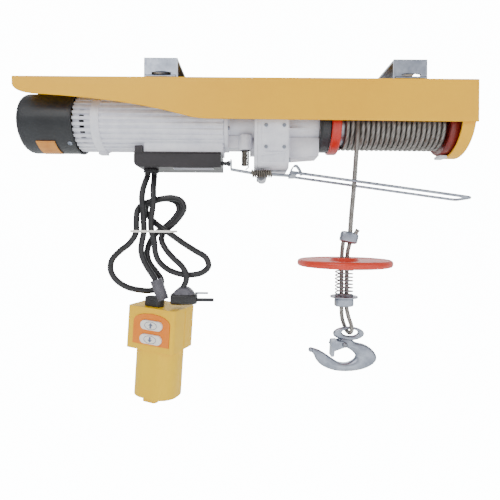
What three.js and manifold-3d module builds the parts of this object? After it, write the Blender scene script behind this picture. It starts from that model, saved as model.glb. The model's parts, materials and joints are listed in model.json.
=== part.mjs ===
// Mini electric wire-rope hoist, hung from a beam above it: a folded steel frame, a finned motor with
// its fan end on the left, a two-stage gearbox, a rope drum, a limit lever with a wire loop, a rope
// with a stop disc and a hook, and a two-button pendant on a lead, with the mains lead bundled beside it.
// Millimetres, +Z up, +X from the fan end to the drum end. The origin is the middle of the frame's top.
import * as THREE from "three";
import { mergeVertices } from "three/addons/utils/BufferGeometryUtils.js";
import Module from "manifold-3d";

const wasm = await Module();
wasm.setup();

// ---------- Driving dimensions ----------
const GAP = 0.3; // clearance between pieces that touch
const HALF_TURN = Math.PI;
const DEG = Math.PI / 180;

const FRAME = { half: 293, depth: 54, sheet: 2.5, drop: 53.5, leftDrop: 10 };
const AXIS_Z = -47.5; // motor and drum axis
const GEAR_CENTRES = 30; // distance from the main axis down to the countershaft
const MODULE = 1.5; // gear module
const PINION_TEETH = 8;
const WHEEL_TEETH = 32;

const COVER = { left: -299, right: -225, radius: 40, wall: 2.5 };
const VENT = { left: -224.7, right: -201.3, radius: 37, slots: 30 };
const MOTOR = { left: -201, flange: -190, right: -28.3, fins: 30, radius: 37, root: 34, bore: 31.5 };
const SHIELD = { left: -28, right: 15.9, radius: 36.5, tube: 20.5, cover: 4, boss: 9.9 };
const GEARBOX = { left: 16.2, right: 56, front: -45, back: 36, top: -10, bottom: -111.5, wall: 4 };
const NECK = { right: 98, radius: 25.5, bore: 15 };
const COLLAR = { left: 98.3, right: 112, radius: 36 };
const DRUM = { left: 112.3, right: 279, flange: 39, flangeWidth: 13.7, barrel: 26.5, shaft: 8 };
const ROPE = { radius: 3, wrapOuter: 33, y: -30 };
const CAP = { left: 275, right: 291.7, radius: 51.2, centre: -39.5 };
const BOX = { left: -147, right: -32, half: 27, top: -88.6, bottom: -109, wall: 2.5 };
const BRACKET = { width: 42.5, height: 25.4, leg: 49, sheet: 3, foot: 29, lefts: [-128.5, 187] };
const LEVER = { pivotX: 21, pivotZ: -120.5, pin: 3 };
const LOOP = { left: 66.4, right: 286, front: -50, back: -8, startZ: -118.9, slope: 7.6 * DEG, wire: 1.9 };
const HOOK_LINE = { x: 130.5, y: -30 };
const DISC = { radius: 61, top: -228, bottom: -236, bore: 8.8 };
const SPRING = { radius: 11, wire: 0.9, top: -236.5, bottom: -276, turns: 8 };
const HOOK = { eyeX: 136.8, eyeZ: -325.5, thick: 12, pinX: 130.5, pinZ: -338.5 };
const PENDANT = { width: 73, depth: 56, block: 55, grip: 67, yaw: -20 * DEG, roll: 3.5 * DEG };
const CORD_RADIUS = 4;

// ---------- Solids ----------

// A closed three.js geometry as a solid.
function solid(geometry) {
  const bare = geometry.clone();
  bare.deleteAttribute("normal");
  bare.deleteAttribute("uv");
  const merged = mergeVertices(bare, 1e-4);
  const index = Array.from(merged.index.array);
  const faces = [];
  for (let i = 0; i < index.length; i += 3) {
    const [a, b, c] = index.slice(i, i + 3);
    if (a !== b && b !== c && a !== c) faces.push(a, b, c);
  }
  const make = (triVerts) =>
    new wasm.Manifold(
      new wasm.Mesh({
        numProp: 3,
        vertProperties: merged.attributes.position.array,
        triVerts: new Uint32Array(triVerts),
      }),
    );
  const made = make(faces);
  return made.volume() < 0 ? make(faces.reverse()) : made;
}

// A solid as a flat-shaded three.js geometry.
function geometryOf(body) {
  const mesh = body.getMesh();
  const geometry = new THREE.BufferGeometry();
  geometry.setAttribute("position", new THREE.BufferAttribute(Float32Array.from(mesh.vertProperties), 3));
  geometry.setIndex(new THREE.BufferAttribute(Uint32Array.from(mesh.triVerts), 1));
  geometry.computeVertexNormals();
  return geometry;
}

const join = (...bodies) => bodies.reduce((a, b) => a.add(b));
const cut = (body, ...tools) => tools.reduce((a, b) => a.subtract(b), body);

// A block from its low and high corners along each axis.
function block(x0, x1, y0, y1, z0, z1) {
  const geometry = new THREE.BoxGeometry(x1 - x0, y1 - y0, z1 - z0);
  return solid(geometry.translate((x0 + x1) / 2, (y0 + y1) / 2, (z0 + z1) / 2));
}

// A body turned about the X axis from [x, radius] points that start and end on the axis or close.
function turnedX(points, segments = 24) {
  const profile = points.map(([x, r]) => new THREE.Vector2(r, x));
  return solid(new THREE.LatheGeometry(profile, segments).rotateZ(-HALF_TURN / 2));
}

// A body turned about the Z axis from [radius, z] points.
function turnedZ(points, segments = 24) {
  const profile = points.map(([r, z]) => new THREE.Vector2(r, z));
  return solid(new THREE.LatheGeometry(profile, segments).rotateX(HALF_TURN / 2));
}

const ringX = (x0, x1, inner, outer, segments) =>
  turnedX([[x0, inner], [x0, outer], [x1, outer], [x1, inner], [x0, inner]], segments);
const discX = (x0, x1, radius, segments) => turnedX([[x0, 0], [x0, radius], [x1, radius], [x1, 0]], segments);
const rodY = (x, z, y0, y1, radius, segments = 12) =>
  solid(new THREE.CylinderGeometry(radius, radius, y1 - y0, segments).translate(0, (y0 + y1) / 2, 0)).translate([x, 0, z]);
const rodZ = (x, y, z0, z1, radius, segments = 12) =>
  solid(
    new THREE.CylinderGeometry(radius, radius, z1 - z0, segments).rotateX(HALF_TURN / 2).translate(x, y, (z0 + z1) / 2),
  );

// A flat outline pushed through a thickness. XZ outlines run from y0 to y1, YZ outlines from x0 to x1.
function pushed(shape, depth, curveSegments = 8) {
  return new THREE.ExtrudeGeometry(shape, { depth, bevelEnabled: false, curveSegments });
}
function platedXZ(shape, y0, y1, curveSegments) {
  return solid(pushed(shape, y1 - y0, curveSegments).rotateX(HALF_TURN / 2).translate(0, y1, 0));
}
function platedYZ(shape, x0, x1, curveSegments) {
  const turn = new THREE.Matrix4().makeBasis(
    new THREE.Vector3(0, 1, 0),
    new THREE.Vector3(0, 0, 1),
    new THREE.Vector3(1, 0, 0),
  );
  return solid(pushed(shape, x1 - x0, curveSegments).applyMatrix4(turn).translate(x0, 0, 0));
}
function platedXY(shape, z0, z1, curveSegments) {
  return solid(pushed(shape, z1 - z0, curveSegments).translate(0, 0, z0));
}

const outline = (points) => new THREE.Shape(points.map(([x, y]) => new THREE.Vector2(x, y)));

// A rectangle with round corners, centred on x, y.
function roundedBox(x, y, width, height, radius) {
  const w = width / 2 - radius;
  const h = height / 2 - radius;
  const shape = new THREE.Shape();
  shape.absarc(x + w, y + h, radius, 0, HALF_TURN / 2);
  shape.absarc(x - w, y + h, radius, HALF_TURN / 2, HALF_TURN);
  shape.absarc(x - w, y - h, radius, HALF_TURN, HALF_TURN * 1.5);
  shape.absarc(x + w, y - h, radius, HALF_TURN * 1.5, HALF_TURN * 2);
  return shape;
}

function roundSection(radius, sides) {
  const corners = Array.from({ length: sides }, (_, i) => (i / sides) * 2 * HALF_TURN);
  return outline(corners.map((a) => [radius * Math.cos(a), radius * Math.sin(a)]));
}

// A round bar along a smooth curve through the points.
function bar(points, radius, steps, sides = 8) {
  const path = new THREE.CatmullRomCurve3(points.map((p) => new THREE.Vector3(...p)), false, "centripetal");
  return new THREE.ExtrudeGeometry(roundSection(radius, sides), { extrudePath: path, steps, bevelEnabled: false });
}

// A round-wire helix about the Z axis through x, y.
function coil(x, y, top, bottom, radius, wire, turns) {
  const perTurn = 8;
  const count = turns * perTurn;
  const points = Array.from({ length: count + 1 }, (_, i) => {
    const angle = (i / perTurn) * 2 * HALF_TURN;
    const z = top + ((bottom - top) * i) / count;
    return [x + radius * Math.cos(angle), y + radius * Math.sin(angle), z];
  });
  return bar(points, wire, count, 5);
}

// A spur gear's outline with straight-sided teeth, one tooth or one gap pointing along +Z.
function gearOutline(teeth, gapUp) {
  const pitch = (MODULE * teeth) / 2;
  const tip = pitch + 0.62 * MODULE;
  const root = pitch - 1.05 * MODULE;
  const half = { root: (0.72 * MODULE) / root, tip: (0.28 * MODULE) / tip };
  const points = [];
  for (let i = 0; i < teeth; i++) {
    const middle = ((i + (gapUp ? 0.5 : 0)) / teeth) * 2 * HALF_TURN;
    const corners = [[root, -half.root], [tip, -half.tip], [tip, half.tip], [root, half.root]];
    for (const [r, a] of corners) points.push([-r * Math.sin(middle + a), r * Math.cos(middle + a)]);
  }
  return outline(points);
}

// ---------- The scene graph ----------
const root = new THREE.Group();
const mainAxis = new THREE.Group();
mainAxis.position.z = AXIS_Z;
const counterAxis = new THREE.Group();
counterAxis.position.z = AXIS_Z - GEAR_CENTRES;
root.add(mainAxis, counterAxis);

const finish = (color, roughness, metalness = 0) => new THREE.MeshStandardMaterial({ color, roughness, metalness });
const paint = {
  yellow: () => finish(0xecbe30, 0.45),
  casting: () => finish(0xcdcdd7, 0.5, 0.7),
  zinc: () => finish(0xbec3cd, 0.35, 0.8),
  black: () => finish(0x4b464b, 0.5),
  cover: () => finish(0x3e4044, 0.5),
  red: () => finish(0xeb785f, 0.45),
  rope: () => finish(0x827d78, 0.45, 0.7),
  steel: () => finish(0x9a9ca2, 0.35, 0.9),
  cord: () => finish(0x413e44, 0.55),
  pendant: () => finish(0xe4cd3c, 0.45),
  copper: () => finish(0x9c5a34, 0.5, 0.6),
  white: () => finish(0xf2efe8, 0.5),
  orange: () => finish(0xe09a30, 0.5),
};

function add(name, shape, material, parent = root) {
  const geometry = shape.isBufferGeometry ? shape : geometryOf(shape);
  const mesh = new THREE.Mesh(geometry, material());
  mesh.name = name;
  parent.add(mesh);
  return mesh;
}

// ---------- Frame ----------
// A downward channel. Both skirts are shallow over the fan end and fall in a long S to full depth.
function skirtShape() {
  const skirt = new THREE.Shape();
  skirt.moveTo(-FRAME.half, 0);
  skirt.lineTo(-FRAME.half, -FRAME.leftDrop);
  skirt.quadraticCurveTo(-FRAME.half + 2, -20, -268, -22);
  skirt.bezierCurveTo(-190, -26, -130, -33, -71, -49);
  skirt.quadraticCurveTo(-62, -51.5, -46, -52);
  skirt.lineTo(FRAME.half, -FRAME.drop);
  skirt.lineTo(FRAME.half, 0);
  skirt.closePath();
  return skirt;
}
function frameChannel() {
  const front = platedXZ(skirtShape(), -FRAME.depth, -FRAME.depth + FRAME.sheet, 6);
  const back = platedXZ(skirtShape(), FRAME.depth - FRAME.sheet, FRAME.depth, 6);
  const web = block(-FRAME.half, FRAME.half, -FRAME.depth, FRAME.depth, -FRAME.sheet, 0);
  const holes = BRACKET.lefts.flatMap((x) =>
    [-1, 1].map((side) => rodZ(x + BRACKET.width / 2, side * BRACKET.foot, -10, 10, 4.4, 10)),
  );
  return cut(join(web, front, back), ...holes);
}
add("frame_channel", frameChannel(), paint.yellow);

// ---------- Hanging brackets: a folded hat over the beam, feet turned in, one bolt through each foot ----------
const bracketGroups = BRACKET.lefts.map((x) => {
  const group = new THREE.Group();
  group.position.set(x, 0, GAP);
  root.add(group);
  return group;
});
function bracketShape() {
  const { leg, sheet, height, foot } = BRACKET;
  const inner = foot - 10;
  return outline([
    [-leg, 0], [-inner, 0], [-inner, sheet], [-leg + sheet, sheet], [-leg + sheet, height - sheet],
    [leg - sheet, height - sheet], [leg - sheet, sheet], [inner, sheet], [inner, 0], [leg, 0],
    [leg, height], [-leg, height],
  ]);
}
function bracket() {
  const body = platedYZ(bracketShape(), 0, BRACKET.width);
  const window = new THREE.Shape();
  window.moveTo(10, 3.4);
  window.lineTo(34, 3.4);
  window.lineTo(34, 6.8);
  window.quadraticCurveTo(22, 9.4, 10, 6.8);
  window.closePath();
  const windows = [-1, 1].map((side) => platedXZ(window, side * BRACKET.leg - 5, side * BRACKET.leg + 5, 4));
  const holes = [-1, 1].map((side) => rodZ(BRACKET.width / 2, side * BRACKET.foot, -1, 5, 4.4, 10));
  return cut(body, ...windows, ...holes);
}
// Two bolts on the strap that clamps them under the frame's top.
function bracketBolts() {
  const x = BRACKET.width / 2;
  const under = -FRAME.sheet - 2 * GAP;
  const strap = block(x - 8, x + 8, -40, 40, under - 3, under);
  const bolts = [-1, 1].map((side) =>
    join(
      rodZ(x, side * BRACKET.foot, under - 1, BRACKET.sheet + 1, 4, 10),
      rodZ(x, side * BRACKET.foot, BRACKET.sheet + GAP, BRACKET.sheet + GAP + 4.5, 7, 6),
    ),
  );
  return join(strap, ...bolts);
}
for (const [i, side] of ["left", "right"].entries()) {
  add(`bracket_${side}`, bracket(), paint.zinc, bracketGroups[i]);
  add(`bracket_bolts_${side}`, bracketBolts(), paint.steel, bracketGroups[i]);
}

// ---------- Motor ----------
function fanCover() {
  const { left, right, radius, wall } = COVER;
  const cup = turnedX(
    [
      [left, 0], [left, radius - 9], [left + 0.8, radius - 5.5], [left + 2.6, radius - 2.6], [left + 5.2, radius - 0.8],
      [left + 9, radius], [right - 6, radius], [right, radius + 1], [right, radius - 1.5],
      [right - 6, radius - wall], [left + 9, radius - wall], [left + 4.8, radius - 5.5], [left + wall, radius - 11],
      [left + wall, 0],
    ],
    48,
  );
  const slots = [0, 1, 2].map((i) => block(left - 1, left + 5, -22, 22, -1.5, 1.5).rotate([30 + 60 * i, 0, 0]));
  return cut(cup, ...slots);
}
add("fan_cover", fanCover(), paint.cover, mainAxis);

// A plain curved plate on the lower front of the fan cover.
function coverPatch() {
  const inner = COVER.radius + GAP;
  const outer = inner + 1.2;
  const from = HALF_TURN + 45 * DEG;
  const to = HALF_TURN + 87 * DEG;
  const shape = new THREE.Shape();
  shape.absarc(0, 0, outer, from, to);
  shape.absarc(0, 0, inner, to, from, true);
  return platedYZ(shape, -275, -250, 6);
}
add("cover_patch", coverPatch(), paint.orange, mainAxis);

// The rear end shield: a ring of vents round a wall with the bearing's hub.
function ventRing() {
  const { left, right, radius, slots } = VENT;
  const wall = turnedX([
    [right - 14, 12], [right - 14, 15.5], [right - 3.5, 15.5], [right - 3.5, radius - 3.5], [right, radius - 3.5],
    [right, 12], [right - 14, 12],
  ]);
  const ribs = cut(platedYZ(finOutline(), left, right), discX(left - 1, right - 3.3, radius - 5, 30));
  const shell = join(cut(ribs, discX(right - 4, right + 1, radius - 4.5, 30)), wall);
  const mid = (left + right) / 2;
  const tools = Array.from({ length: slots / 2 }, (_, i) =>
    block(mid - 4, mid + 3, -radius - 2, radius + 2, -1.4, 1.4)
      .subtract(discX(mid - 5, mid + 4, radius - 7, 12))
      .rotate([(360 / slots) * (i + 0.5), 0, 0]),
  );
  return cut(shell, ...tools);
}
add("vent_ring", ventRing(), paint.casting, mainAxis);

function finOutline() {
  const { fins, radius, root: floor } = MOTOR;
  const step = (2 * HALF_TURN) / fins;
  const corners = [[floor, -0.3], [radius, -0.24], [radius, 0.24], [floor, 0.3]];
  const points = [];
  for (let i = 0; i < fins; i++) {
    for (const [r, share] of corners) {
      const a = (i + share) * step;
      points.push([r * Math.cos(a), r * Math.sin(a)]);
    }
  }
  return outline(points);
}
function motorHousing() {
  const { left, flange, right, bore } = MOTOR;
  const fins = platedYZ(finOutline(), flange - 0.5, right);
  const ring = discX(left, flange, 38.5, 30);
  const pad = block(-135, -30, -22, 22, -40.8, -20);
  const lug = block(left, flange, -6, 6, -41.5, -30);
  return cut(join(fins, ring, pad, lug), discX(left - 1, right + 1, bore, 30));
}
add("motor_housing", motorHousing(), paint.casting, mainAxis);

add(
  "stator",
  turnedX([
    [-172, 22.5], [-172, 28], [-160, 28], [-160, MOTOR.bore - GAP], [-70, MOTOR.bore - GAP], [-70, 28],
    [-58, 28], [-58, 22.5], [-172, 22.5],
  ]),
  paint.copper,
  mainAxis,
);
add("rear_bearing", ringX(-214, -206, 5.4, 11.6, 16), paint.steel, mainAxis);
add("front_bearing", ringX(-12, -4, 5.4, 11.6, 16), paint.steel, mainAxis);

// Rotor: the core and the shaft with its pinion are pressed together.
function rotor() {
  const shaft = discX(-262, 20, 5, 16);
  const core = discX(-158, -72, 19.6, 24);
  const pinion = platedYZ(gearOutline(PINION_TEETH, false), 19.5, 34);
  return join(shaft, core, pinion);
}
add("rotor", rotor(), paint.steel, mainAxis);

function fan() {
  const hub = discX(-258, -240, 11, 16);
  const plate = discX(-242, -240, 33.5, 24);
  const blades = Array.from({ length: 8 }, (_, i) => block(-258, -241, 9, 33, -0.9, 0.9).rotate([45 * i, 0, 0]));
  return cut(join(hub, plate, ...blades), discX(-260, -238, 5.3, 16));
}
add("fan", fan(), paint.black, mainAxis);

// ---------- Gearbox ----------
const gearboxFace = (inset) =>
  roundedBox(
    (GEARBOX.front + GEARBOX.back) / 2,
    (GEARBOX.top + GEARBOX.bottom) / 2 - AXIS_Z,
    GEARBOX.back - GEARBOX.front - 2 * inset,
    GEARBOX.top - GEARBOX.bottom - 2 * inset,
    9 - inset,
  );

// The drive end shield carries the front bearing and is also the gearbox's left cover.
function driveShield() {
  const flange = discX(SHIELD.left, SHIELD.left + 5, SHIELD.radius, 30);
  const tube = discX(SHIELD.left + 4, SHIELD.right - 4, SHIELD.tube, 24);
  const cover = platedYZ(gearboxFace(0), SHIELD.right - SHIELD.cover, SHIELD.right, 3);
  const web = block(SHIELD.left + 4, -5, -14, 14, -33, -17);
  const boss = discX(SHIELD.right - SHIELD.boss, SHIELD.right - 1, 12.5, 20).translate([0, 0, -GEAR_CENTRES]);
  const cup = rodZ(0, -15, -37, -17, 9, 12);
  const solidShield = join(flange, tube, cover, boss, web, cup);
  const bore = turnedX([[-29, 0], [-29, 17], [-14, 17], [-14, 12], [4, 12], [4, 7.4], [17, 7.4], [17, 0]], 20);
  const counter = discX(9.2, 17, 10, 16).translate([0, 0, -GEAR_CENTRES]);
  const springSeat = rodZ(0, -15, -38, -32, 7.6, 12);
  return cut(solidShield, bore, counter, springSeat);
}
add("drive_shield", driveShield(), paint.casting, mainAxis);

// The housing is open towards the drive shield; its neck carries the drum shaft's bearing.
function gearHousing() {
  const { left, right, wall } = GEARBOX;
  const shell = platedYZ(gearboxFace(0), left, right, 3);
  const hollow = platedYZ(gearboxFace(wall), left - 1, right - wall, 3);
  const neck = discX(right - 1, NECK.right, NECK.radius, 24);
  const web = platedXZ(outline([[right - 1, -20], [NECK.right, -20], [NECK.right, -44], [right - 1, -47.5]]), -20, 20);
  const lugShape = roundedBox(LEVER.pivotX + 1.5, LEVER.pivotZ - AXIS_Z + 4, 12, 22, 5);
  const lugs = [[-28, -25], [-5, -2]].map(([y0, y1]) => platedXZ(lugShape, y0, y1, 4));
  const pinBore = rodY(LEVER.pivotX, LEVER.pivotZ - AXIS_Z, -30, 0, LEVER.pin + GAP);
  const neckBore = discX(right - wall - 1, NECK.right + 1, NECK.bore, 24);
  const counterBore = discX(right - wall - 1, right - 0.8, 4.9, 12).translate([0, 0, -GEAR_CENTRES]);
  const panel = platedXZ(
    outline([[23, -56.5], [50, -56.5], [52, -44.5], [21, -49]]),
    GEARBOX.front - 1,
    GEARBOX.front + 1.5,
  );
  return cut(join(cut(join(shell, ...lugs), hollow), neck, web), pinBore, neckBore, counterBore, panel);
}
add("gear_housing", gearHousing(), paint.casting, mainAxis);

add(
  "gearbox_front_plate",
  platedXZ(roundedBox(38, -68.5 - AXIS_Z, 33, 44, 4), GEARBOX.front - GAP - 1.6, GEARBOX.front - GAP, 4),
  paint.casting,
  mainAxis,
);
add("output_bearing", ringX(85, 96, DRUM.shaft + GAP, NECK.bore - GAP, 16), paint.steel, mainAxis);
add("countershaft_bearing", ringX(9.5, 15.6, 4.8, 9.7, 16), paint.steel, counterAxis);

// Countershaft: a wheel driven by the rotor's pinion and a pinion that drives the drum's wheel.
function countershaft() {
  const wheel = platedYZ(gearOutline(WHEEL_TEETH, true), 21, 33);
  const pinion = platedYZ(gearOutline(PINION_TEETH, false), 32.5, 50);
  const shaft = discX(9.8, 54.8, 4.5, 12);
  return join(wheel, pinion, shaft);
}
add("countershaft", countershaft(), paint.steel, counterAxis);

// ---------- Drum ----------
add(
  "drum_collar",
  turnedX([
    [COLLAR.left, 10], [COLLAR.left, COLLAR.radius - 2], [COLLAR.left + 3, COLLAR.radius],
    [COLLAR.right, COLLAR.radius], [COLLAR.right, 10], [COLLAR.left, 10],
  ]),
  paint.black,
  mainAxis,
);
const barrelLeft = DRUM.left + DRUM.flangeWidth + GAP;
const barrelRight = DRUM.right - DRUM.flangeWidth + 0.4;
add(
  "drum_barrel",
  turnedX([
    [36, 0], [36, DRUM.shaft], [barrelLeft, DRUM.shaft], [barrelLeft, DRUM.barrel], [barrelRight, DRUM.barrel],
    [barrelRight, DRUM.barrel - 3], [barrelLeft + 6, DRUM.barrel - 3], [barrelLeft + 6, DRUM.shaft],
    [DRUM.right + 1, DRUM.shaft], [DRUM.right + 1, 6], [288, 6], [288, 0],
  ]),
  paint.steel,
  mainAxis,
);
function drumFlange(left) {
  const right = left + DRUM.flangeWidth - 0.7;
  return turnedX([
    [left, DRUM.shaft + GAP], [left, DRUM.flange - 1.5], [left + 1.5, DRUM.flange], [right - 1.5, DRUM.flange],
    [right, DRUM.flange - 1.5], [right, DRUM.shaft + GAP], [left, DRUM.shaft + GAP],
  ]);
}
add("drum_flange_left", drumFlange(DRUM.left), paint.red, mainAxis);
add("drum_flange_right", drumFlange(266), paint.red, mainAxis);
add("rope_wrap", ringX(128, 264, DRUM.barrel + GAP, ROPE.wrapOuter, 24), paint.rope, mainAxis);
// The wheel on the drum shaft's left end, inside the gearbox.
const outputWheel = platedYZ(gearOutline(WHEEL_TEETH, true), 37, 49.7);
add("output_wheel", cut(outputWheel, discX(36, 51, DRUM.shaft + GAP, 16)), paint.steel, mainAxis);

// ---------- Drum end cap: a D-shaped cup under and inside the channel's right end ----------
function capShape(radius, top) {
  const shape = new THREE.Shape();
  const rise = CAP.centre - AXIS_Z;
  shape.moveTo(-radius, top - AXIS_Z);
  shape.lineTo(-radius, rise);
  shape.absarc(0, rise, radius, HALF_TURN, 2 * HALF_TURN);
  shape.lineTo(radius, top - AXIS_Z);
  shape.closePath();
  return shape;
}
function endCap() {
  const cup = platedYZ(capShape(CAP.radius, -FRAME.sheet - GAP), CAP.left, CAP.right, 12);
  const hollow = platedYZ(capShape(CAP.radius - 2.5, -FRAME.sheet - 3), CAP.left - 1, CAP.right - 2.7, 12);
  const hub = ringX(CAP.right - 11, CAP.right - 2, 12.3, 16, 20);
  return join(cut(cup, hollow), hub);
}
add("drum_end_cap", endCap(), paint.yellow, mainAxis);
add("end_bearing", ringX(281, 288.5, 6.3, 12, 16), paint.steel, mainAxis);
add("end_lug", block(264, CAP.left - GAP, -9, 9, -91.4 - AXIS_Z, -87.2 - AXIS_Z), paint.casting, mainAxis);

// ---------- Control box under the motor ----------
function controlBox() {
  const { left, right, half, top, bottom, wall } = BOX;
  const side = new THREE.Shape();
  side.moveTo(left, top - 2.4);
  side.lineTo(left, bottom + 7);
  side.quadraticCurveTo(left + 1, bottom, left + 9, bottom);
  side.lineTo(right, bottom);
  side.lineTo(right, top - 2.4);
  side.closePath();
  const shell = platedXZ(side, -half, half, 5);
  const hollow = block(left + 5, right - wall, -half + wall, half - wall, bottom + wall, top);
  const plungerHole = discX(right - 4, right + 1, 3.2, 12).translate([0, -15, -102]);
  const gland = rodZ(-129, -4, bottom - 1, bottom + 4, 5, 12);
  return cut(shell, hollow, plungerHole, gland);
}
add("control_box", controlBox(), paint.black);
function boxLid() {
  const { left, right, half, top } = BOX;
  return join(block(left, right, -half, half, top - 2.1, top), block(-146, -136, -26, -19.5, top - 1, -80.5));
}
add("control_box_lid", boxLid(), paint.black);
add("box_label", block(-96, -42, -24, -11, BOX.bottom - GAP - 0.8, BOX.bottom - GAP), paint.white);
add("capacitor", discX(-112, -72, 7, 16).translate([0, 8, -99]), paint.zinc);
add("limit_switch", block(-66, -50, -22, -8, -106, -94), paint.black);
add(
  "plunger",
  turnedX([[-47.5, 0], [-47.5, 2.6], [-24, 2.6], [-24, 3.8], [-20.5, 3.8], [-20.5, 0]], 12).translate([0, -15, -102]),
  paint.black,
);
function cableGland() {
  const oval = roundedBox(-129, -4, 20, 17, 7);
  return join(platedXY(oval, BOX.bottom - GAP - 4.6, BOX.bottom - GAP, 4), rodZ(-129, -4, -111, -104.5, 4.6, 12));
}
add("cable_gland", cableGland(), paint.cord);

// ---------- Limit lever ----------
// A strip folded from 1.8 mm sheet: an upright tab facing the plunger, a plate under the gearbox, a hump.
function limitLever() {
  const { pivotX, pivotZ, pin } = LEVER;
  const strip = outline([
    [-19.9, -97.5], [-18.1, -97.5], [-18.1, -109.1], [12, -114.1], [66, -117.1], [66, -119.1], [12, -116.1],
    [-19.9, -110.7],
  ]);
  const plate = platedXZ(strip, -23.5, -6.5);
  const sleeve = rodY(pivotX, pivotZ, -23.5, -6.5, 5.6, 16);
  const hump = new THREE.Shape();
  hump.moveTo(57.5, -118);
  hump.quadraticCurveTo(66, -91, 76, -118);
  hump.lineTo(73.5, -118.4);
  hump.quadraticCurveTo(66, -95, 60, -118);
  hump.closePath();
  const arch = platedXZ(hump, -30, -18, 5);
  const crossbar = block(58.5, 66, -52, -6, -120.9, -116.9);
  const bore = rodY(pivotX, pivotZ, -30, 0, pin + GAP);
  return cut(join(plate, sleeve, crossbar, arch), bore);
}
add("limit_lever", limitLever(), paint.zinc);
function wireLoop() {
  const { left, right, front, back, startZ, slope, wire } = LOOP;
  const at = (x, y) => [x, y, startZ - (x - left) * Math.tan(slope)];
  const points = [
    at(left, back), at(right - 70, back), at(right - 6, back), at(right - 1, back - 1.5), at(right, back - 7),
    at(right, front + 7), at(right - 1, front + 1.5), at(right - 6, front), at(right - 70, front), at(left, front),
  ];
  return bar(points, wire, 36, 6);
}
add("wire_loop", wireLoop(), paint.zinc);
function leverPin() {
  const { pivotX, pivotZ, pin } = LEVER;
  const head = rodY(pivotX, pivotZ, -32.8, -28.3, 6.5, 6);
  const nut = rodY(pivotX, pivotZ, -1.7, 3, 6.5, 6);
  return join(rodY(pivotX, pivotZ, -30, 0, pin), head, nut);
}
add("lever_pin", leverPin(), paint.steel);
add("lever_spring", coil(0, -15, -82.5, -108.2, 4.6, 0.9, 7), paint.steel);

// ---------- Rope, stop disc and hook ----------
const ropeFall = [[147, -68.5], [145, -95], [142.5, -135], [139.5, -170], [138.3, -191.3]];
add("rope_fall", bar(ropeFall.map(([x, z]) => [x, ROPE.y, z]), ROPE.radius, 8), paint.rope);

const ferruleTilt = new THREE.Group();
ferruleTilt.position.set(136.5, ROPE.y, -200);
ferruleTilt.rotation.y = 12 * DEG;
root.add(ferruleTilt);
add("upper_ferrule", platedXZ(roundedBox(0, 0, 24, 14.5, 4), -7, 7, 3), paint.zinc, ferruleTilt);

// Two legs hang from the upper ferrule and meet in a bight round the top of the hook's eye.
const ropeLoop = [
  [129, -31, -211.5], [127.2, -30, -226], [127.2, -30, -240], [127.2, -30, -277], [127.2, -30, -291.5],
  [128.5, -27, -304], [131.5, -23.4, -313], [134, -22.9, -319], [135.6, -24.6, -322.6], [137, -30, -324.2],
  [138.4, -35.4, -322.6], [139.2, -37.1, -319], [138.6, -36.6, -313], [136, -33, -304], [134, -30, -291.5],
  [134, -30, -277], [134, -30, -240], [134.4, -30, -226], [138.5, -31, -213],
];
add("rope_loop", bar(ropeLoop, ROPE.radius - 0.2, 52, 7), paint.rope);

function stopDisc() {
  const { radius, top, bottom, bore } = DISC;
  return turnedZ(
    [
      [bore, bottom], [radius - 8, bottom], [radius - 6, bottom - 1.5], [radius - 1, bottom - 1.5],
      [radius, bottom + 1], [radius, top - 2], [radius - 2, top], [18, top], [16, top + 2], [bore, top + 2],
      [bore, bottom],
    ],
    40,
  ).translate([HOOK_LINE.x, HOOK_LINE.y, 0]);
}
add("stop_disc", stopDisc(), paint.red);
add(
  "buffer_spring",
  coil(HOOK_LINE.x, HOOK_LINE.y, SPRING.top - 1.3, SPRING.bottom + 0.9, SPRING.radius, SPRING.wire, SPRING.turns),
  paint.steel,
);
const washer = turnedZ([[8.2, -278.4], [18, -278.4], [18, -276.4], [8.2, -276.4], [8.2, -278.4]], 24);
add("spring_washer", washer.translate([HOOK_LINE.x, HOOK_LINE.y, 0]), paint.zinc);
const ferrule = platedXY(roundedBox(HOOK_LINE.x, HOOK_LINE.y, 25, 13, 6), -290.6, -278.7, 4);
const ferruleBore = platedXY(roundedBox(130.6, -30, 13.6, 6.6, 3.2), -291, -278, 4);
add("lower_ferrule", cut(ferrule, ferruleBore), paint.zinc);

// The hook's side view: the bowl runs right, under and up to a small knob at the left-hand tip.
function hookBowl() {
  const points = [
    [137.8, -333], [142.2, -337], [150.9, -339.6], [159.6, -341.5], [165.6, -345.2], [170.5, -350.4],
    [173.3, -357], [170.5, -362.4], [165.1, -366.8], [157.5, -370.6], [148.7, -372.8], [137.8, -374.2],
    [126.9, -374.4], [118.2, -373.5], [109.5, -371.1], [101.8, -367.3], [95.8, -362.4], [92.6, -358.1],
    [92, -352.6], [90.4, -349.1], [86.6, -349.3], [84.4, -346.9], [86.6, -344.1], [90.9, -343.9],
    [96.4, -346.3], [105.1, -350.8], [111.7, -355.3], [118.2, -359.7], [123.6, -362.4], [131.3, -363.3],
    [137.8, -361.9], [143.3, -357.8], [145.7, -353.7], [142.2, -349.3], [137.8, -345.9], [134, -343.3],
    [129.1, -341.2], [125.8, -338.4], [124.7, -334], [127, -331],
  ];
  return outline(points);
}
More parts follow.
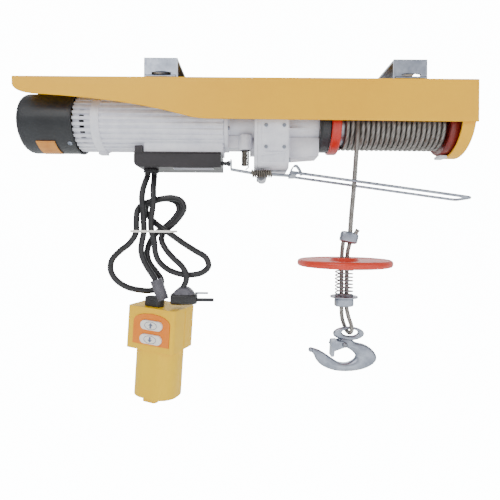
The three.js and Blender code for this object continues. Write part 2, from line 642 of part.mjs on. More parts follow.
function hook() {
  const { eyeX, eyeZ, thick, pinX, pinZ } = HOOK;
  const y = HOOK_LINE.y;
  const bowl = platedXZ(hookBowl(), y - thick / 2, y + thick / 2);
  const ring = new THREE.Shape();
  ring.absellipse(eyeX, eyeZ, 20.4, 9.1, 0, 2 * HALF_TURN);
  const hole = new THREE.Shape();
  hole.absellipse(138.4, -324, 10.2, 4.3, 0, 2 * HALF_TURN);
  const eye = platedXZ(ring, y - 3.5, y + 3.5, 12);
  const pin = rodY(pinX, pinZ, y - thick / 2 - 4, y + thick / 2 + 4, 2, 10);
  const heads = [-1, 1].map((side) => rodY(pinX, pinZ, y + side * 10 - 1.4, y + side * 10 + 1.4, 3.4, 10));
  return join(cut(join(bowl, eye), platedXZ(hole, y - 9, y + 9, 10)), pin, ...heads);
}
add("hook", hook(), paint.zinc);

// The latch straddles the hook's neck with two cheeks on the pin and closes the mouth with its tongue.
function hookLatch() {
  const { pinX, pinZ, thick } = HOOK;
  const y = HOOK_LINE.y;
  const cheekShape = outline([
    [pinX + 2.6, pinZ - 2.6], [pinX + 3.4, pinZ + 1], [pinX, pinZ + 4], [117, -334], [114, -334.5],
    [112.5, -340], [117.5, -347],
  ]);
  const cheeks = [
    platedXZ(cheekShape, y - thick / 2 - 2, y - thick / 2 - 0.4),
    platedXZ(cheekShape, y + thick / 2 + 0.4, y + thick / 2 + 2),
  ];
  const tongueShape = outline([[114, -334], [121, -333.5], [121, -336], [117.6, -347], [116.6, -353.8], [113, -354.4]]);
  const tongue = platedXZ(tongueShape, y - thick / 2 - 2, y + thick / 2 + 2);
  const bore = rodY(pinX, pinZ, y - 12, y + 12, 2.3, 12);
  return cut(join(...cheeks, tongue), bore);
}
add("hook_latch", hookLatch(), paint.steel);

// ---------- Pendant, turned a little to the left and hanging a little out of plumb ----------
const pendant = new THREE.Group();
pendant.position.set(-113.4, 2.9, -296);
pendant.rotation.set(0, PENDANT.roll, PENDANT.yaw, "ZYX");
root.add(pendant);
pendant.updateMatrixWorld(true);
const inPendant = (x, y, z) => pendant.worldToLocal(new THREE.Vector3(x, y, z));

function panelShape(inset) {
  const shape = new THREE.Shape();
  shape.moveTo(-26 + inset, -49 + inset);
  shape.lineTo(30 - inset, -49 + inset);
  shape.lineTo(30 - inset, -18);
  shape.quadraticCurveTo(27 - inset, -8 - inset, 2, -7 - inset);
  shape.quadraticCurveTo(-24 + inset, -8 - inset, -26 + inset, -18);
  shape.closePath();
  return shape;
}
const buttonShape = (z, grow) => roundedBox(3, z, 33 + grow, 12.6 + grow, 6.2 + grow / 2);
const BUTTONS = { up: -22, down: -40.5 };

function pendantCase() {
  const { width, depth, block: high, grip } = PENDANT;
  const head = platedXY(roundedBox(-1, 0, width, depth, 5), -high - 2, 0, 3);
  const handle = platedXY(roundedBox(0.5, 0, width - 10, depth - 3, 23), -high - grip, -high, 8);
  const foot = platedXY(roundedBox(-2, -6, 22, 26, 5), -high - grip - 8, -high - grip + 1, 3);
  const headHollow = platedXY(roundedBox(-1, 0, width - 6, depth - 6, 3), -high + 1, -3, 2);
  const gripHollow = platedXY(roundedBox(0.5, 0, width - 16, depth - 9, 20), -high - grip + 3, -high + 2, 4);
  const window = platedXZ(panelShape(0), -depth / 2 - 1, -depth / 2 + 4, 4);
  const wireHole = rodZ(-5, -9, -4, 1, 4, 10);
  return cut(join(head, handle, foot), headHollow, gripHollow, window, wireHole);
}
add("pendant_case", pendantCase(), paint.pendant, pendant);
const panel = platedXZ(panelShape(GAP), -29, -25.6, 4);
const buttonHoles = Object.values(BUTTONS).map((z) => platedXZ(buttonShape(z, 0.8), -31, -24, 3));
add("pendant_cover", cut(panel, ...buttonHoles), paint.orange, pendant);
for (const [side, z] of Object.entries(BUTTONS)) {
  add(`${side}_button`, platedXZ(buttonShape(z, 0), -32, -23, 3), paint.white, pendant);
}
add("switch_block", block(-14, 20, -19.6, 24.6, -48, -16), paint.black, pendant);
add("pendant_gland", platedXY(roundedBox(-5.5, -12, 27, 18, 8), GAP, 12.5, 3), paint.cord, pendant);
function pendantBoot() {
  const top = inPendant(-119.4, -12, -260.4);
  const end = inPendant(-109.6, -12, -286.5);
  const along = end.clone().sub(top);
  const geometry = new THREE.CylinderGeometry(9, 8, along.length(), 14);
  const turn = new THREE.Quaternion().setFromUnitVectors(new THREE.Vector3(0, -1, 0), along.clone().normalize());
  const middle = top.clone().add(end).multiplyScalar(0.5);
  const placed = geometry.rotateX(HALF_TURN).applyQuaternion(turn).translate(middle.x, middle.y, middle.z);
  return cut(solid(placed), block(-60, 60, -60, 60, -40, 12.8));
}
add("pendant_boot", pendantBoot(), paint.cord, pendant);

// ---------- Cords ----------
// The control cord drops from the box to the pendant's boot.
const controlRoute = [
  [-133, -8.5, -118.6], [-134.2, -13.5, -126], [-136.5, -18, -137.5], [-137.5, -20, -150], [-136, -20, -163],
  [-135, -20, -179], [-134.5, -20, -194.5], [-137, -19, -207], [-138.5, -18, -219.5], [-136, -16, -231.5],
  [-130.5, -14, -243], [-125, -12.5, -252], [-121, -12, -257.5],
];
add("control_cord", bar(controlRoute, CORD_RADIUS, 14), paint.cord);

// The mains cord is bundled in a hank beside the control cord and ends at the plug.
const mainsRoute = [
  [-125, -3, -118.2], [-124, -9.5, -125.5], [-123, -17, -137.5], [-122, -20.5, -150], [-123, -20.5, -163],
  [-125, -20.5, -179], [-124, -21, -194], [-121, -18, -207], [-120.5, -15, -220], [-116.5, -13, -233],
  [-105.5, -12, -244], [-90.5, -12, -250.5], [-74, -12, -252.5], [-57.5, -13.5, -249], [-48.5, -15, -240.5],
  [-52, -17, -228.5], [-66, -18, -219.5], [-81, -19, -210], [-94.5, -20, -200.5], [-105.5, -20.5, -192.5],
  [-118, -13, -185], [-129, -8, -175.5], [-137, -2, -165], [-134.5, 2, -156], [-122.5, 2, -151],
  [-108, 1, -149], [-94.5, 0, -154], [-91, -2, -164.5], [-97.5, -3, -176], [-109, -2.5, -187],
  [-122, -1.5, -196.5], [-130.5, -3, -209], [-133.5, -5, -222.5], [-131, -3, -236.5], [-123, 1, -249],
  [-116, 5, -261.5], [-118.5, 7, -271.5], [-130, 6, -276.5], [-145.5, 2.5, -275.5], [-162.5, -2, -270.5],
  [-176, -7, -259.5], [-181.5, -11, -246], [-178.5, -14, -232.5], [-167, -17, -220.5], [-153.5, -20, -210],
  [-145, -20.5, -196.5], [-144.5, -20, -180.5], [-144, -17, -166.5], [-139, -10.5, -157.5],
  [-127.5, -8.5, -153], [-114, -8.5, -149.5], [-99, -10, -148], [-86.5, -12, -152.5], [-82, -14, -161.5],
  [-87.5, -13, -173], [-98, -11.5, -184.5], [-110, -11, -195], [-112, -15, -204.5], [-105.5, -21, -216.5],
  [-94.5, -23, -229], [-83.5, -22, -239.5], [-77.5, -21, -250.5], [-78, -19, -260], [-82, -17, -267],
];
add("mains_cord", bar(mainsRoute, CORD_RADIUS, 100, 8), paint.cord);

function cordTie() {
  const outer = platedXY(roundedBox(-122.6, -11.4, 59.2, 34.6, 8.5), -195.4, -192.4, 4);
  const inner = platedXY(roundedBox(-122.6, -11.4, 56.6, 32, 7), -197, -191, 4);
  return cut(outer, inner);
}
add("cord_tie", cordTie(), paint.white);

function plug() {
  const body = block(-98, -64, -25, -1, -292, -276.5);
  const neck = platedXZ(outline([[-96, -277], [-66, -277], [-73, -269.4], [-91, -269.4]]), -24, -3);
  const pins = join(
    discX(-66, -41, 2.5, 8).translate([0, -12, -286]),
    discX(-66, -49, 1.5, 8).translate([0, -8, -277.5]),
  );
  return join(body, neck, pins);
}
add("plug", plug(), paint.cord);

export default root;
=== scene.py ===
"""Electric wire-rope hoist: the visual model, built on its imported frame. Values named mm are millimetres."""
import json
import logging
import math
from dataclasses import dataclass, field
from enum import Enum
from typing import Sequence

import bmesh
import bpy
import numpy as np
from mathutils import Matrix, Vector


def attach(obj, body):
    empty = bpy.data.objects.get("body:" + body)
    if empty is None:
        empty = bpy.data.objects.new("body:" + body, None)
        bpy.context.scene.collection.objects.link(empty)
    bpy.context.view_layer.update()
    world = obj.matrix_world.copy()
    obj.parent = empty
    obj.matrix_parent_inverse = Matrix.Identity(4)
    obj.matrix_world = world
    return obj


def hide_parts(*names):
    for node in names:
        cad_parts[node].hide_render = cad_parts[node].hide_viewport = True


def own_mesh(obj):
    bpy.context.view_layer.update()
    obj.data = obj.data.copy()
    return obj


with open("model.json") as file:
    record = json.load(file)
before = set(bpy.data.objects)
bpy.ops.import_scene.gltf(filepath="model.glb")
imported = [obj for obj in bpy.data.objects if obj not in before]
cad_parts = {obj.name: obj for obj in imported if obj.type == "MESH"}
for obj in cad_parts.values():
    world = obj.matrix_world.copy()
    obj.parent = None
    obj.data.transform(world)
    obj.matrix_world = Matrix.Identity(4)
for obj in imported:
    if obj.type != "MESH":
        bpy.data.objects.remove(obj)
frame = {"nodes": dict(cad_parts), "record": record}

LOG = logging.getLogger("hoist")
MM = 0.001
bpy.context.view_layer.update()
BODY_OF = {node: body for body, nodes in frame["record"]["behaviour"]["bodies"].items() for node in nodes}
Points = np.ndarray


class Grain(Enum):
    """The kinds of surface texture: each value is (pattern stretch along X, Y, Z)."""

    EVEN = (1.0, 1.0, 1.0)
    TURNED = (1.0, 0.15, 0.15)


class Axis(Enum):
    """The three directions that a turned piece can stand along."""

    X = (1.0, 0.0, 0.0)
    Y = (0.0, 1.0, 0.0)
    Z = (0.0, 0.0, 1.0)


# ---------- Shader groups ----------


def new_group(name: str, inputs: Sequence[tuple], outputs: Sequence[tuple]) -> bpy.types.NodeTree:
    """Makes an empty shader group.

    Args:
        name: the group's name.
        inputs: (name, socket type, default) of each input.
        outputs: (name, socket type) of each output.

    Returns:
        The group's node tree.
    """
    tree = bpy.data.node_groups.new(name, "ShaderNodeTree")
    for label, kind, default in inputs:
        socket = tree.interface.new_socket(name=label, in_out="INPUT", socket_type=kind)
        socket.default_value = default
    for label, kind in outputs:
        tree.interface.new_socket(name=label, in_out="OUTPUT", socket_type=kind)
    return tree


def weathered_surface() -> bpy.types.NodeTree:
    """Builds the group that every finish shares: cloudy colour, broken gloss and a fine relief.

    Colour is a mix of Base and Tint by cloudy noise, mixed towards dark soil in spots where the fine grain
    noise is high, as much as Soil asks; roughness runs from Smooth to Rough by the fine grain noise; Height is
    the same fine grain noise.

    Returns:
        The group's node tree.
    """
    tree = new_group(
        "weathered_surface",
        [
            ("Vector", "NodeSocketVector", (0, 0, 0)),
            ("Base", "NodeSocketColor", (0.5, 0.5, 0.5, 1)),
            ("Tint", "NodeSocketColor", (0.4, 0.4, 0.4, 1)),
            ("Cloud Scale", "NodeSocketFloat", 20.0), ("Grain Scale", "NodeSocketFloat", 400.0),
            ("Smooth", "NodeSocketFloat", 0.3), ("Rough", "NodeSocketFloat", 0.5),
            ("Soil", "NodeSocketFloat", 0.0),
        ],
        [("Color", "NodeSocketColor"), ("Roughness", "NodeSocketFloat"), ("Height", "NodeSocketFloat")],
    )
    nodes, links = tree.nodes, tree.links
    source = nodes.new("NodeGroupInput")
    sink = nodes.new("NodeGroupOutput")
    cloud = nodes.new("ShaderNodeTexNoise")
    cloud.inputs["Detail"].default_value = 5.0
    cloud.inputs["Roughness"].default_value = 0.6
    grain = nodes.new("ShaderNodeTexNoise")
    grain.inputs["Detail"].default_value = 3.0
    soft = nodes.new("ShaderNodeMapRange")
    soft.inputs["From Min"].default_value = 0.35
    soft.inputs["From Max"].default_value = 0.68
    blend = nodes.new("ShaderNodeMix")
    blend.data_type = "RGBA"
    soil_mask = nodes.new("ShaderNodeMapRange")
    soil_mask.inputs["From Min"].default_value = 0.55
    soil_mask.inputs["From Max"].default_value = 0.75
    soil_share = nodes.new("ShaderNodeMath")
    soil_share.operation = "MULTIPLY"
    soiled = nodes.new("ShaderNodeMix")
    soiled.data_type = "RGBA"
    soiled.inputs["B"].default_value = (0.09, 0.08, 0.07, 1)
    rough = nodes.new("ShaderNodeMapRange")
    links.new(source.outputs["Vector"], cloud.inputs["Vector"])
    links.new(source.outputs["Vector"], grain.inputs["Vector"])
    links.new(source.outputs["Cloud Scale"], cloud.inputs["Scale"])
    links.new(source.outputs["Grain Scale"], grain.inputs["Scale"])
    links.new(cloud.outputs["Fac"], soft.inputs["Value"])
    links.new(soft.outputs["Result"], blend.inputs["Factor"])
    links.new(source.outputs["Base"], blend.inputs["A"])
    links.new(source.outputs["Tint"], blend.inputs["B"])
    links.new(grain.outputs["Fac"], soil_mask.inputs["Value"])
    links.new(soil_mask.outputs["Result"], soil_share.inputs[0])
    links.new(source.outputs["Soil"], soil_share.inputs[1])
    links.new(soil_share.outputs["Value"], soiled.inputs["Factor"])
    links.new(blend.outputs["Result"], soiled.inputs["A"])
    links.new(grain.outputs["Fac"], rough.inputs["Value"])
    links.new(source.outputs["Smooth"], rough.inputs["To Min"])
    links.new(source.outputs["Rough"], rough.inputs["To Max"])
    links.new(soiled.outputs["Result"], sink.inputs["Color"])
    links.new(rough.outputs["Result"], sink.inputs["Roughness"])
    links.new(grain.outputs["Fac"], sink.inputs["Height"])
    return tree


WEATHERED = weathered_surface()


def linear(red: int, green: int, blue: int) -> tuple[float, float, float, float]:
    """Gives a linear colour for three display values from 0 to 255."""
    shares = [value / 255 for value in (red, green, blue)]
    return (*[s / 12.92 if s <= 0.04045 else ((s + 0.055) / 1.055) ** 2.4 for s in shares], 1.0)


@dataclass(frozen=True)
class Finish:
    """A surface finish: its colours, its gloss, its relief and how its texture runs."""

    name: str
    slot: str
    base: tuple[int, int, int]
    tint: tuple[int, int, int]
    smooth: float
    rough: float
    metallic: float = 0.0
    cloud: float = 18.0
    grain: float = 500.0
    relief: float = 0.1
    coat: float = 0.0
    soil: float = 0.0
    run: Grain = Grain.EVEN
    # Whether to paint shade into the hollows that the groove_shade attribute marks.
    groove_shade: bool = False

    def material(self) -> bpy.types.Material:
        """Gives this finish's material, built the first time it is asked for.

        Returns:
            A material with a Principled shader fed by the shared group.
        """
        made = bpy.data.materials.get(self.name)
        if made is not None:
            return made
        made = bpy.data.materials.new(self.name)
        made.use_nodes = True
        nodes, links = made.node_tree.nodes, made.node_tree.links
        shader = nodes["Principled BSDF"]
        shader.inputs["Metallic"].default_value = self.metallic
        shader.inputs["Coat Weight"].default_value = self.coat
        shader.inputs["Coat Roughness"].default_value = 0.08
        place = nodes.new("ShaderNodeTexCoord")
        stretch = nodes.new("ShaderNodeMapping")
        stretch.inputs["Scale"].default_value = self.run.value
        group = nodes.new("ShaderNodeGroup")
        group.node_tree = WEATHERED
        group.inputs["Base"].default_value = linear(*self.base)
        group.inputs["Tint"].default_value = linear(*self.tint)
        group.inputs["Cloud Scale"].default_value = self.cloud
        group.inputs["Grain Scale"].default_value = self.grain
        group.inputs["Smooth"].default_value = self.smooth
        group.inputs["Rough"].default_value = self.rough
        group.inputs["Soil"].default_value = self.soil
        bump = nodes.new("ShaderNodeBump")
        bump.inputs["Strength"].default_value = self.relief
        bump.inputs["Distance"].default_value = 0.0004
        links.new(place.outputs["Object"], stretch.inputs["Vector"])
        links.new(stretch.outputs["Vector"], group.inputs["Vector"])
        links.new(group.outputs["Roughness"], shader.inputs["Roughness"])
        links.new(group.outputs["Height"], bump.inputs["Height"])
        links.new(bump.outputs["Normal"], shader.inputs["Normal"])
        if self.groove_shade:
            self._paint_groove_shade(nodes, links, group, shader)
        else:
            links.new(group.outputs["Color"], shader.inputs["Base Color"])
        made.diffuse_color = linear(*self.base)
        return made

    def _paint_groove_shade(self, nodes: bpy.types.Nodes, links: bpy.types.NodeLinks, group: bpy.types.Node,
                        shader: bpy.types.Node) -> None:
        """Mixes the colour towards near black where the piece's groove_shade attribute is high: painted shade
        in the hollows between strands.
        """
        mask = nodes.new("ShaderNodeAttribute")
        mask.attribute_name = "groove_shade"
        mix = nodes.new("ShaderNodeMix")
        mix.data_type = "RGBA"
        # Near black: the painted shade colour between strands.
        mix.inputs["B"].default_value = (0.035, 0.032, 0.03, 1)
        links.new(mask.outputs["Fac"], mix.inputs["Factor"])
        links.new(group.outputs["Color"], mix.inputs["A"])
        links.new(mix.outputs["Result"], shader.inputs["Base Color"])


YELLOW = Finish(
    "yellow_powder_coat", "yellow_paint", (253, 190, 0), (248, 182, 0), 0.42, 0.55,
    cloud=9, grain=900, relief=0.08,
)
CASTING = Finish(
    "sand_cast_alloy", "casting", (244, 244, 250), (222, 222, 232), 0.42, 0.62,
    metallic=0.12, cloud=45, grain=700, relief=0.55, soil=0.12,
)
FINS = Finish(
    "motor_fin_alloy", "casting", (246, 246, 252), (226, 226, 236), 0.42, 0.62,
    metallic=0.1, cloud=60, grain=600, relief=0.35, soil=0.1,
)
ZINC = Finish(
    "bright_zinc_plate", "zinc", (176, 182, 194), (140, 146, 160), 0.22, 0.42,
    metallic=0.9, cloud=70, grain=500, relief=0.12, soil=0.05,
)
STEEL = Finish(
    "turned_steel", "steel", (160, 162, 170), (128, 130, 138), 0.22, 0.45,
    metallic=0.95, cloud=60, grain=900, relief=0.2, run=Grain.TURNED,
)
# The stranded wire gets painted shade in the hollows between its strands.
WIRE = Finish(
    "stranded_wire", "rope_steel", (176, 172, 168), (132, 127, 121), 0.25, 0.5,
    metallic=0.8, cloud=130, grain=1800, relief=0.2, soil=0.25, groove_shade=True,
)
BLACK = Finish(
    "moulded_black", "black_plastic", (46, 47, 51), (36, 37, 41), 0.32, 0.52,
    cloud=25, grain=1400, relief=0.22, coat=0.1,
)
COVER = Finish(
    "fan_cover_black", "black_plastic", (40, 42, 46), (27, 28, 31), 0.34, 0.52,
    cloud=15, grain=1200, relief=0.25, coat=0.1,
)
BOX = Finish(
    "control_box_black", "black_plastic", (46, 42, 46), (31, 29, 32), 0.34, 0.52,
    cloud=25, grain=1400, relief=0.2, coat=0.1,
)
RED = Finish(
    "red_lacquer", "red_paint", (206, 34, 14), (176, 24, 10), 0.25, 0.42,
    cloud=30, grain=900, coat=0.3,
)
DISC = Finish(
    "red_moulding", "red_plastic", (224, 62, 34), (210, 48, 26), 0.3, 0.45,
    cloud=14, grain=900, relief=0.12, coat=0.15,
)
PENDANT = Finish(
    "yellow_moulding", "pendant_plastic", (254, 206, 0), (250, 196, 0), 0.4, 0.52,
    cloud=12, grain=1600, relief=0.12,
)
# Painted shade: the pendant's front cover is coloured orange to stand for the yellow front face in shade.
PANEL_PAINTED_SHADE = Finish(
    "front_panel_painted_shade", "orange_plastic", (250, 140, 0), (240, 124, 0), 0.32, 0.5,
    cloud=22, grain=1600, relief=0.15, coat=0.1,
)
PATCH = Finish(
    "orange_patch", "orange_plastic", (222, 150, 60), (200, 126, 48), 0.35, 0.55,
    cloud=60, grain=900,
)
WHITE = Finish(
    "white_key", "white_plastic", (252, 248, 240), (246, 240, 230), 0.25, 0.4,
    cloud=60, grain=1500, relief=0.05, coat=0.3,
)
# Painted shade: a darker copy of the red lacquer for the right drum flange, which stands in shade.
RED_PAINTED_SHADE = Finish(
    "red_lacquer_painted_shade", "red_paint", (140, 34, 26), (108, 24, 20), 0.3, 0.5,
    cloud=30, grain=900, coat=0.2,
)
BRONZE = Finish(
    "spring_wire", "steel", (132, 126, 118), (104, 98, 92), 0.3, 0.5,
    metallic=0.85, cloud=90, grain=900, relief=0.2,
)
INK = Finish(
    "grey_print", "white_plastic", (120, 126, 150), (98, 104, 130), 0.4, 0.6,
    cloud=200, grain=1500, relief=0.05,
)
RUBBER = Finish(
    "lead_rubber", "cord_rubber", (40, 39, 42), (30, 29, 31), 0.34, 0.55,
    cloud=60, grain=1700, relief=0.25, coat=0.05,
)
BOOT = Finish(
    "boot_rubber", "cord_rubber", (104, 102, 110), (78, 76, 84), 0.38, 0.6,
    cloud=90, grain=1700, relief=0.3,
)
COPPER = Finish(
    "varnished_winding", "copper", (156, 92, 52), (120, 64, 36), 0.3, 0.5,
    metallic=0.7, cloud=90, grain=700, relief=0.4,
)
LABEL = Finish(
    "blank_label", "white_plastic", (214, 212, 216), (196, 194, 200), 0.3, 0.45,
    cloud=30, grain=900, relief=0.03,
)


# ---------- Making meshes ----------


def dressed(
    piece: bpy.types.Object, finish: Finish, body: str, nodes: Sequence[str] = ()
) -> bpy.types.Object:
    """Gives a finished piece its material, its body and the nodes that it stands for."""
    piece.data.materials.clear()
    piece.data.materials.append(finish.material())
    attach(piece, body)
    if nodes:
        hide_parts(*nodes)
    LOG.info("piece %s on %s", piece.name, body)
    return piece


def mesh_piece(name: str, verts: Points, faces: Points, sharp_deg: float = 40.0) -> bpy.types.Object:
    """Makes an object from whole arrays of vertices and quads.

    Args:
        name: the piece's name.
        verts: an (n, 3) array of places.
        faces: an (m, 4) or (m, 3) array of corner numbers.
        sharp_deg: edges that turn by more than this stay crisp.

    Returns:
        The new object, at the origin.
    """
    mesh = bpy.data.meshes.new(name)
    mesh.from_pydata(verts.tolist(), [], faces.tolist())
    work = bmesh.new()
    work.from_mesh(mesh)
    bmesh.ops.remove_doubles(work, verts=work.verts, dist=2e-6)
    bmesh.ops.recalc_face_normals(work, faces=work.faces)
    work.to_mesh(mesh)
    work.free()
    mesh.polygons.foreach_set("use_smooth", np.ones(len(mesh.polygons), bool))
    mesh.set_sharp_from_angle(angle=math.radians(sharp_deg))
    piece = bpy.data.objects.new(name, mesh)
    bpy.context.scene.collection.objects.link(piece)
    return piece


def grid_faces(rows: int, columns: int, close_rows: bool, close_columns: bool) -> Points:
    """Gives the quads of a grid whose vertex number is row times columns plus column."""
    r = np.arange(rows if close_rows else rows - 1)
    c = np.arange(columns if close_columns else columns - 1)
    rr, cc = np.meshgrid(r, c, indexing="ij")
    r2, c2 = (rr + 1) % rows, (cc + 1) % columns
    corners = [rr * columns + cc, rr * columns + c2, r2 * columns + c2, r2 * columns + cc]
    return np.stack([k.ravel() for k in corners], axis=1)


def capped(verts: Points, faces: Points, rows: int, columns: int) -> tuple[Points, Points]:
    """Closes a tube's first and last row with a fan round the row's middle."""
    first = verts[:columns].mean(axis=0)
    last = verts[(rows - 1) * columns : rows * columns].mean(axis=0)
    base = len(verts)
    c = np.arange(columns)
    c2 = (c + 1) % columns
    low = np.stack([np.full(columns, base), c2, c, c], axis=1)
    top = (rows - 1) * columns
    high = np.stack([np.full(columns, base + 1), top + c, top + c2, top + c2], axis=1)
    return np.vstack([verts, first, last]), np.vstack([faces, low, high])


def clean_faces(faces: Points) -> list:
    """Drops the repeated corner of each fan triangle."""
    return [list(dict.fromkeys(face)) for face in faces.tolist()]


def tube(name: str, path: Points, radius: float, up: Sequence[float], sides: int = 16, strands: int = 0,
         lay: float = 0.02) -> bpy.types.Object:
    """Carries a round or stranded section along a path.

    A vertex is the path's point plus radius times (normal times cos a + binormal times sin a). With strands,
    the radius falls by a fifth between them, and the pattern turns once for each lay length.

    Args:
        name: the piece's name.
        path: an (n, 3) array along the middle of the tube.
        radius: the section's radius.
        up: a direction that the path never runs along.
        sides: corners of the section.
        strands: how many strands are twisted together, or 0 for a plain wire.
        lay: length of one full twist.

    Returns:
        The new object.
    """
    tangent = np.gradient(path, axis=0)
    tangent /= np.linalg.norm(tangent, axis=1, keepdims=True)
    reference = np.broadcast_to(np.array(up, float), path.shape)
    normal = reference - (reference * tangent).sum(axis=1, keepdims=True) * tangent
    normal /= np.linalg.norm(normal, axis=1, keepdims=True)
    binormal = np.cross(tangent, normal)
    angle = np.arange(sides) / sides * 2 * np.pi
    along = np.concatenate([[0], np.cumsum(np.linalg.norm(np.diff(path, axis=0), axis=1))])
    phase = strands / 2 * (angle[None, :] - 2 * np.pi * along[:, None] / lay)
    lobe = np.abs(np.cos(phase)) if strands else np.ones((len(path), sides))
    reach = radius * (0.8 + 0.2 * lobe) if strands else radius * lobe
    across = np.cos(angle)[None, :, None] * normal[:, None, :]
    ring = across + np.sin(angle)[None, :, None] * binormal[:, None, :]
    verts = (path[:, None, :] + reach[:, :, None] * ring).reshape(-1, 3)
    faces = grid_faces(len(path), sides, False, True)
    verts, faces = capped(verts, faces, len(path), sides)
    mesh = bpy.data.meshes.new(name)
    mesh.from_pydata(verts.tolist(), [], clean_faces(faces))
    mesh.polygons.foreach_set("use_smooth", np.ones(len(mesh.polygons), bool))
    if strands:
        # Painted shade mask: highest in the hollows between strands, where shade falls.
        depth = np.concatenate([(1 - lobe.ravel()) ** 1.5, [0.0, 0.0]])
        groove_shade = mesh.attributes.new("groove_shade", "FLOAT", "POINT")
        groove_shade.data.foreach_set("value", depth.astype(np.float32))
    piece = bpy.data.objects.new(name, mesh)
    bpy.context.scene.collection.objects.link(piece)
    outward(piece)
    return piece


def outward(piece: bpy.types.Object) -> None:
    """Turns every face of a closed piece outwards."""
    work = bmesh.new()
    work.from_mesh(piece.data)
    bmesh.ops.recalc_face_normals(work, faces=work.faces)
    work.to_mesh(piece.data)
    work.free()


def turned(
    name: str, profile_mm: Sequence[tuple[float, float]], origin_mm: Sequence[float],
    axis: Sequence[float], segments: int = 72, sharp_deg: float = 40.0,
) -> bpy.types.Object:
    """Turns a profile about an axis.

    A vertex is the origin plus the axis times the distance along it plus the radius times
    (side times cos a + other side times sin a). A profile that doesn't close ends on the axis.

    Args:
        name: the piece's name.
        profile_mm: (distance along the axis, radius) pairs in millimetres.
        origin_mm: where the profile's zero lies.
        axis: the direction it is turned about.
        segments: steps round the axis.
        sharp_deg: edges that turn by more than this stay crisp.

    Returns:
        The new object.
    """
    profile = np.array(profile_mm, float) * MM
    ahead = np.array(axis, float) / np.linalg.norm(axis)
    helper = np.array([0.0, 0.0, 1.0]) if abs(ahead[2]) < 0.8 else np.array([1.0, 0.0, 0.0])
    side = np.cross(ahead, helper)
    side /= np.linalg.norm(side)
    other = np.cross(ahead, side)
    angle = np.arange(segments) / segments * 2 * np.pi
    ring = np.cos(angle)[:, None] * side + np.sin(angle)[:, None] * other
    middle = np.array(origin_mm, float) * MM
    verts = middle + profile[:, None, :1] * ahead + profile[:, None, 1:] * ring[None]
    faces = grid_faces(len(profile), segments, False, True)
    return mesh_piece(name, verts.reshape(-1, 3), faces, sharp_deg)


def lofted(name: str, outer_mm: Points, inner_mm: Points, middle_mm: float, half_mm: Points, closed: bool,
           sides: int = 24, square: float = 2.4) -> bpy.types.Object:
    """Makes a forged bar between an inner and an outer line that both lie in an XZ plane.

    A vertex is the middle of the two lines' points plus the half width times cos a to the power of two over
    the squareness, towards the outer line, plus the half thickness times sin a to the same power along Y.

    Args:
        name: the piece's name.
        outer_mm: (n, 2) points of the outer line, as x and z.
        inner_mm: (n, 2) points of the inner line.
        middle_mm: Y of the plane.
        half_mm: n half thicknesses along Y.
        closed: whether the bar joins up into a ring.
        sides: corners of the section.
        square: 2 is an ellipse, more is boxier.

    Returns:
        The new object.
    """
    centre = (outer_mm + inner_mm) / 2
    across = (outer_mm - inner_mm) / 2
    angle = np.arange(sides) / sides * 2 * np.pi
    c, s = np.cos(angle), np.sin(angle)
    c = np.sign(c) * np.abs(c) ** (2 / square)
    s = np.sign(s) * np.abs(s) ** (2 / square)
    x = centre[:, None, 0] + across[:, None, 0] * c
    z = centre[:, None, 1] + across[:, None, 1] * c
    y = middle_mm + half_mm[:, None] * s
    verts = np.stack([x, y, z], axis=2).reshape(-1, 3) * MM
    faces = grid_faces(len(centre), sides, closed, True)
    if not closed:
        verts, faces = capped(verts, faces, len(centre), sides)
    mesh = bpy.data.meshes.new(name)
    mesh.from_pydata(verts.tolist(), [], clean_faces(faces))
    mesh.polygons.foreach_set("use_smooth", np.ones(len(mesh.polygons), bool))
    piece = bpy.data.objects.new(name, mesh)
    bpy.context.scene.collection.objects.link(piece)
    outward(piece)
    return piece


def smooth_line(points: Points, count: int) -> Points:
    """Runs a smooth curve through the points with centripetal Catmull-Rom spans.

    Between two points the curve blends three levels of straight lines, whose knots are spaced by the square
    root of the distance between neighbours.

    Args:
        points: an (n, k) array.
        count: how many places to give, evenly spaced along the curve.

    Returns:
        A (count, k) array.
    """
    p = np.vstack([2 * points[0] - points[1], points, 2 * points[-1] - points[-2]])
    gaps = np.maximum(np.linalg.norm(np.diff(p, axis=0), axis=1) ** 0.5, 1e-9)
    knots = np.concatenate([[0], np.cumsum(gaps)])
    spans = np.arange(len(points) - 1)
    u = np.linspace(0, 1, 16, endpoint=False)
    t0, t1, t2, t3 = (knots[spans + k][:, None, None] for k in range(4))
    t = t1 + (t2 - t1) * u[None, :, None]
    p0, p1, p2, p3 = (p[spans + k][:, None, :] for k in range(4))
    a1 = (t1 - t) / (t1 - t0) * p0 + (t - t0) / (t1 - t0) * p1
    a2 = (t2 - t) / (t2 - t1) * p1 + (t - t1) / (t2 - t1) * p2
    a3 = (t3 - t) / (t3 - t2) * p2 + (t - t2) / (t3 - t2) * p3
    b1 = (t2 - t) / (t2 - t0) * a1 + (t - t0) / (t2 - t0) * a2
    b2 = (t3 - t) / (t3 - t1) * a2 + (t - t1) / (t3 - t1) * a3
    dense = ((t2 - t) / (t2 - t1) * b1 + (t - t1) / (t2 - t1) * b2).reshape(-1, points.shape[1])
    dense = np.vstack([dense, points[-1]])
    along = np.concatenate([[0], np.cumsum(np.linalg.norm(np.diff(dense, axis=0), axis=1))])
    wanted = np.linspace(0, along[-1], count)
    return np.stack([np.interp(wanted, along, dense[:, k]) for k in range(points.shape[1])], axis=1)


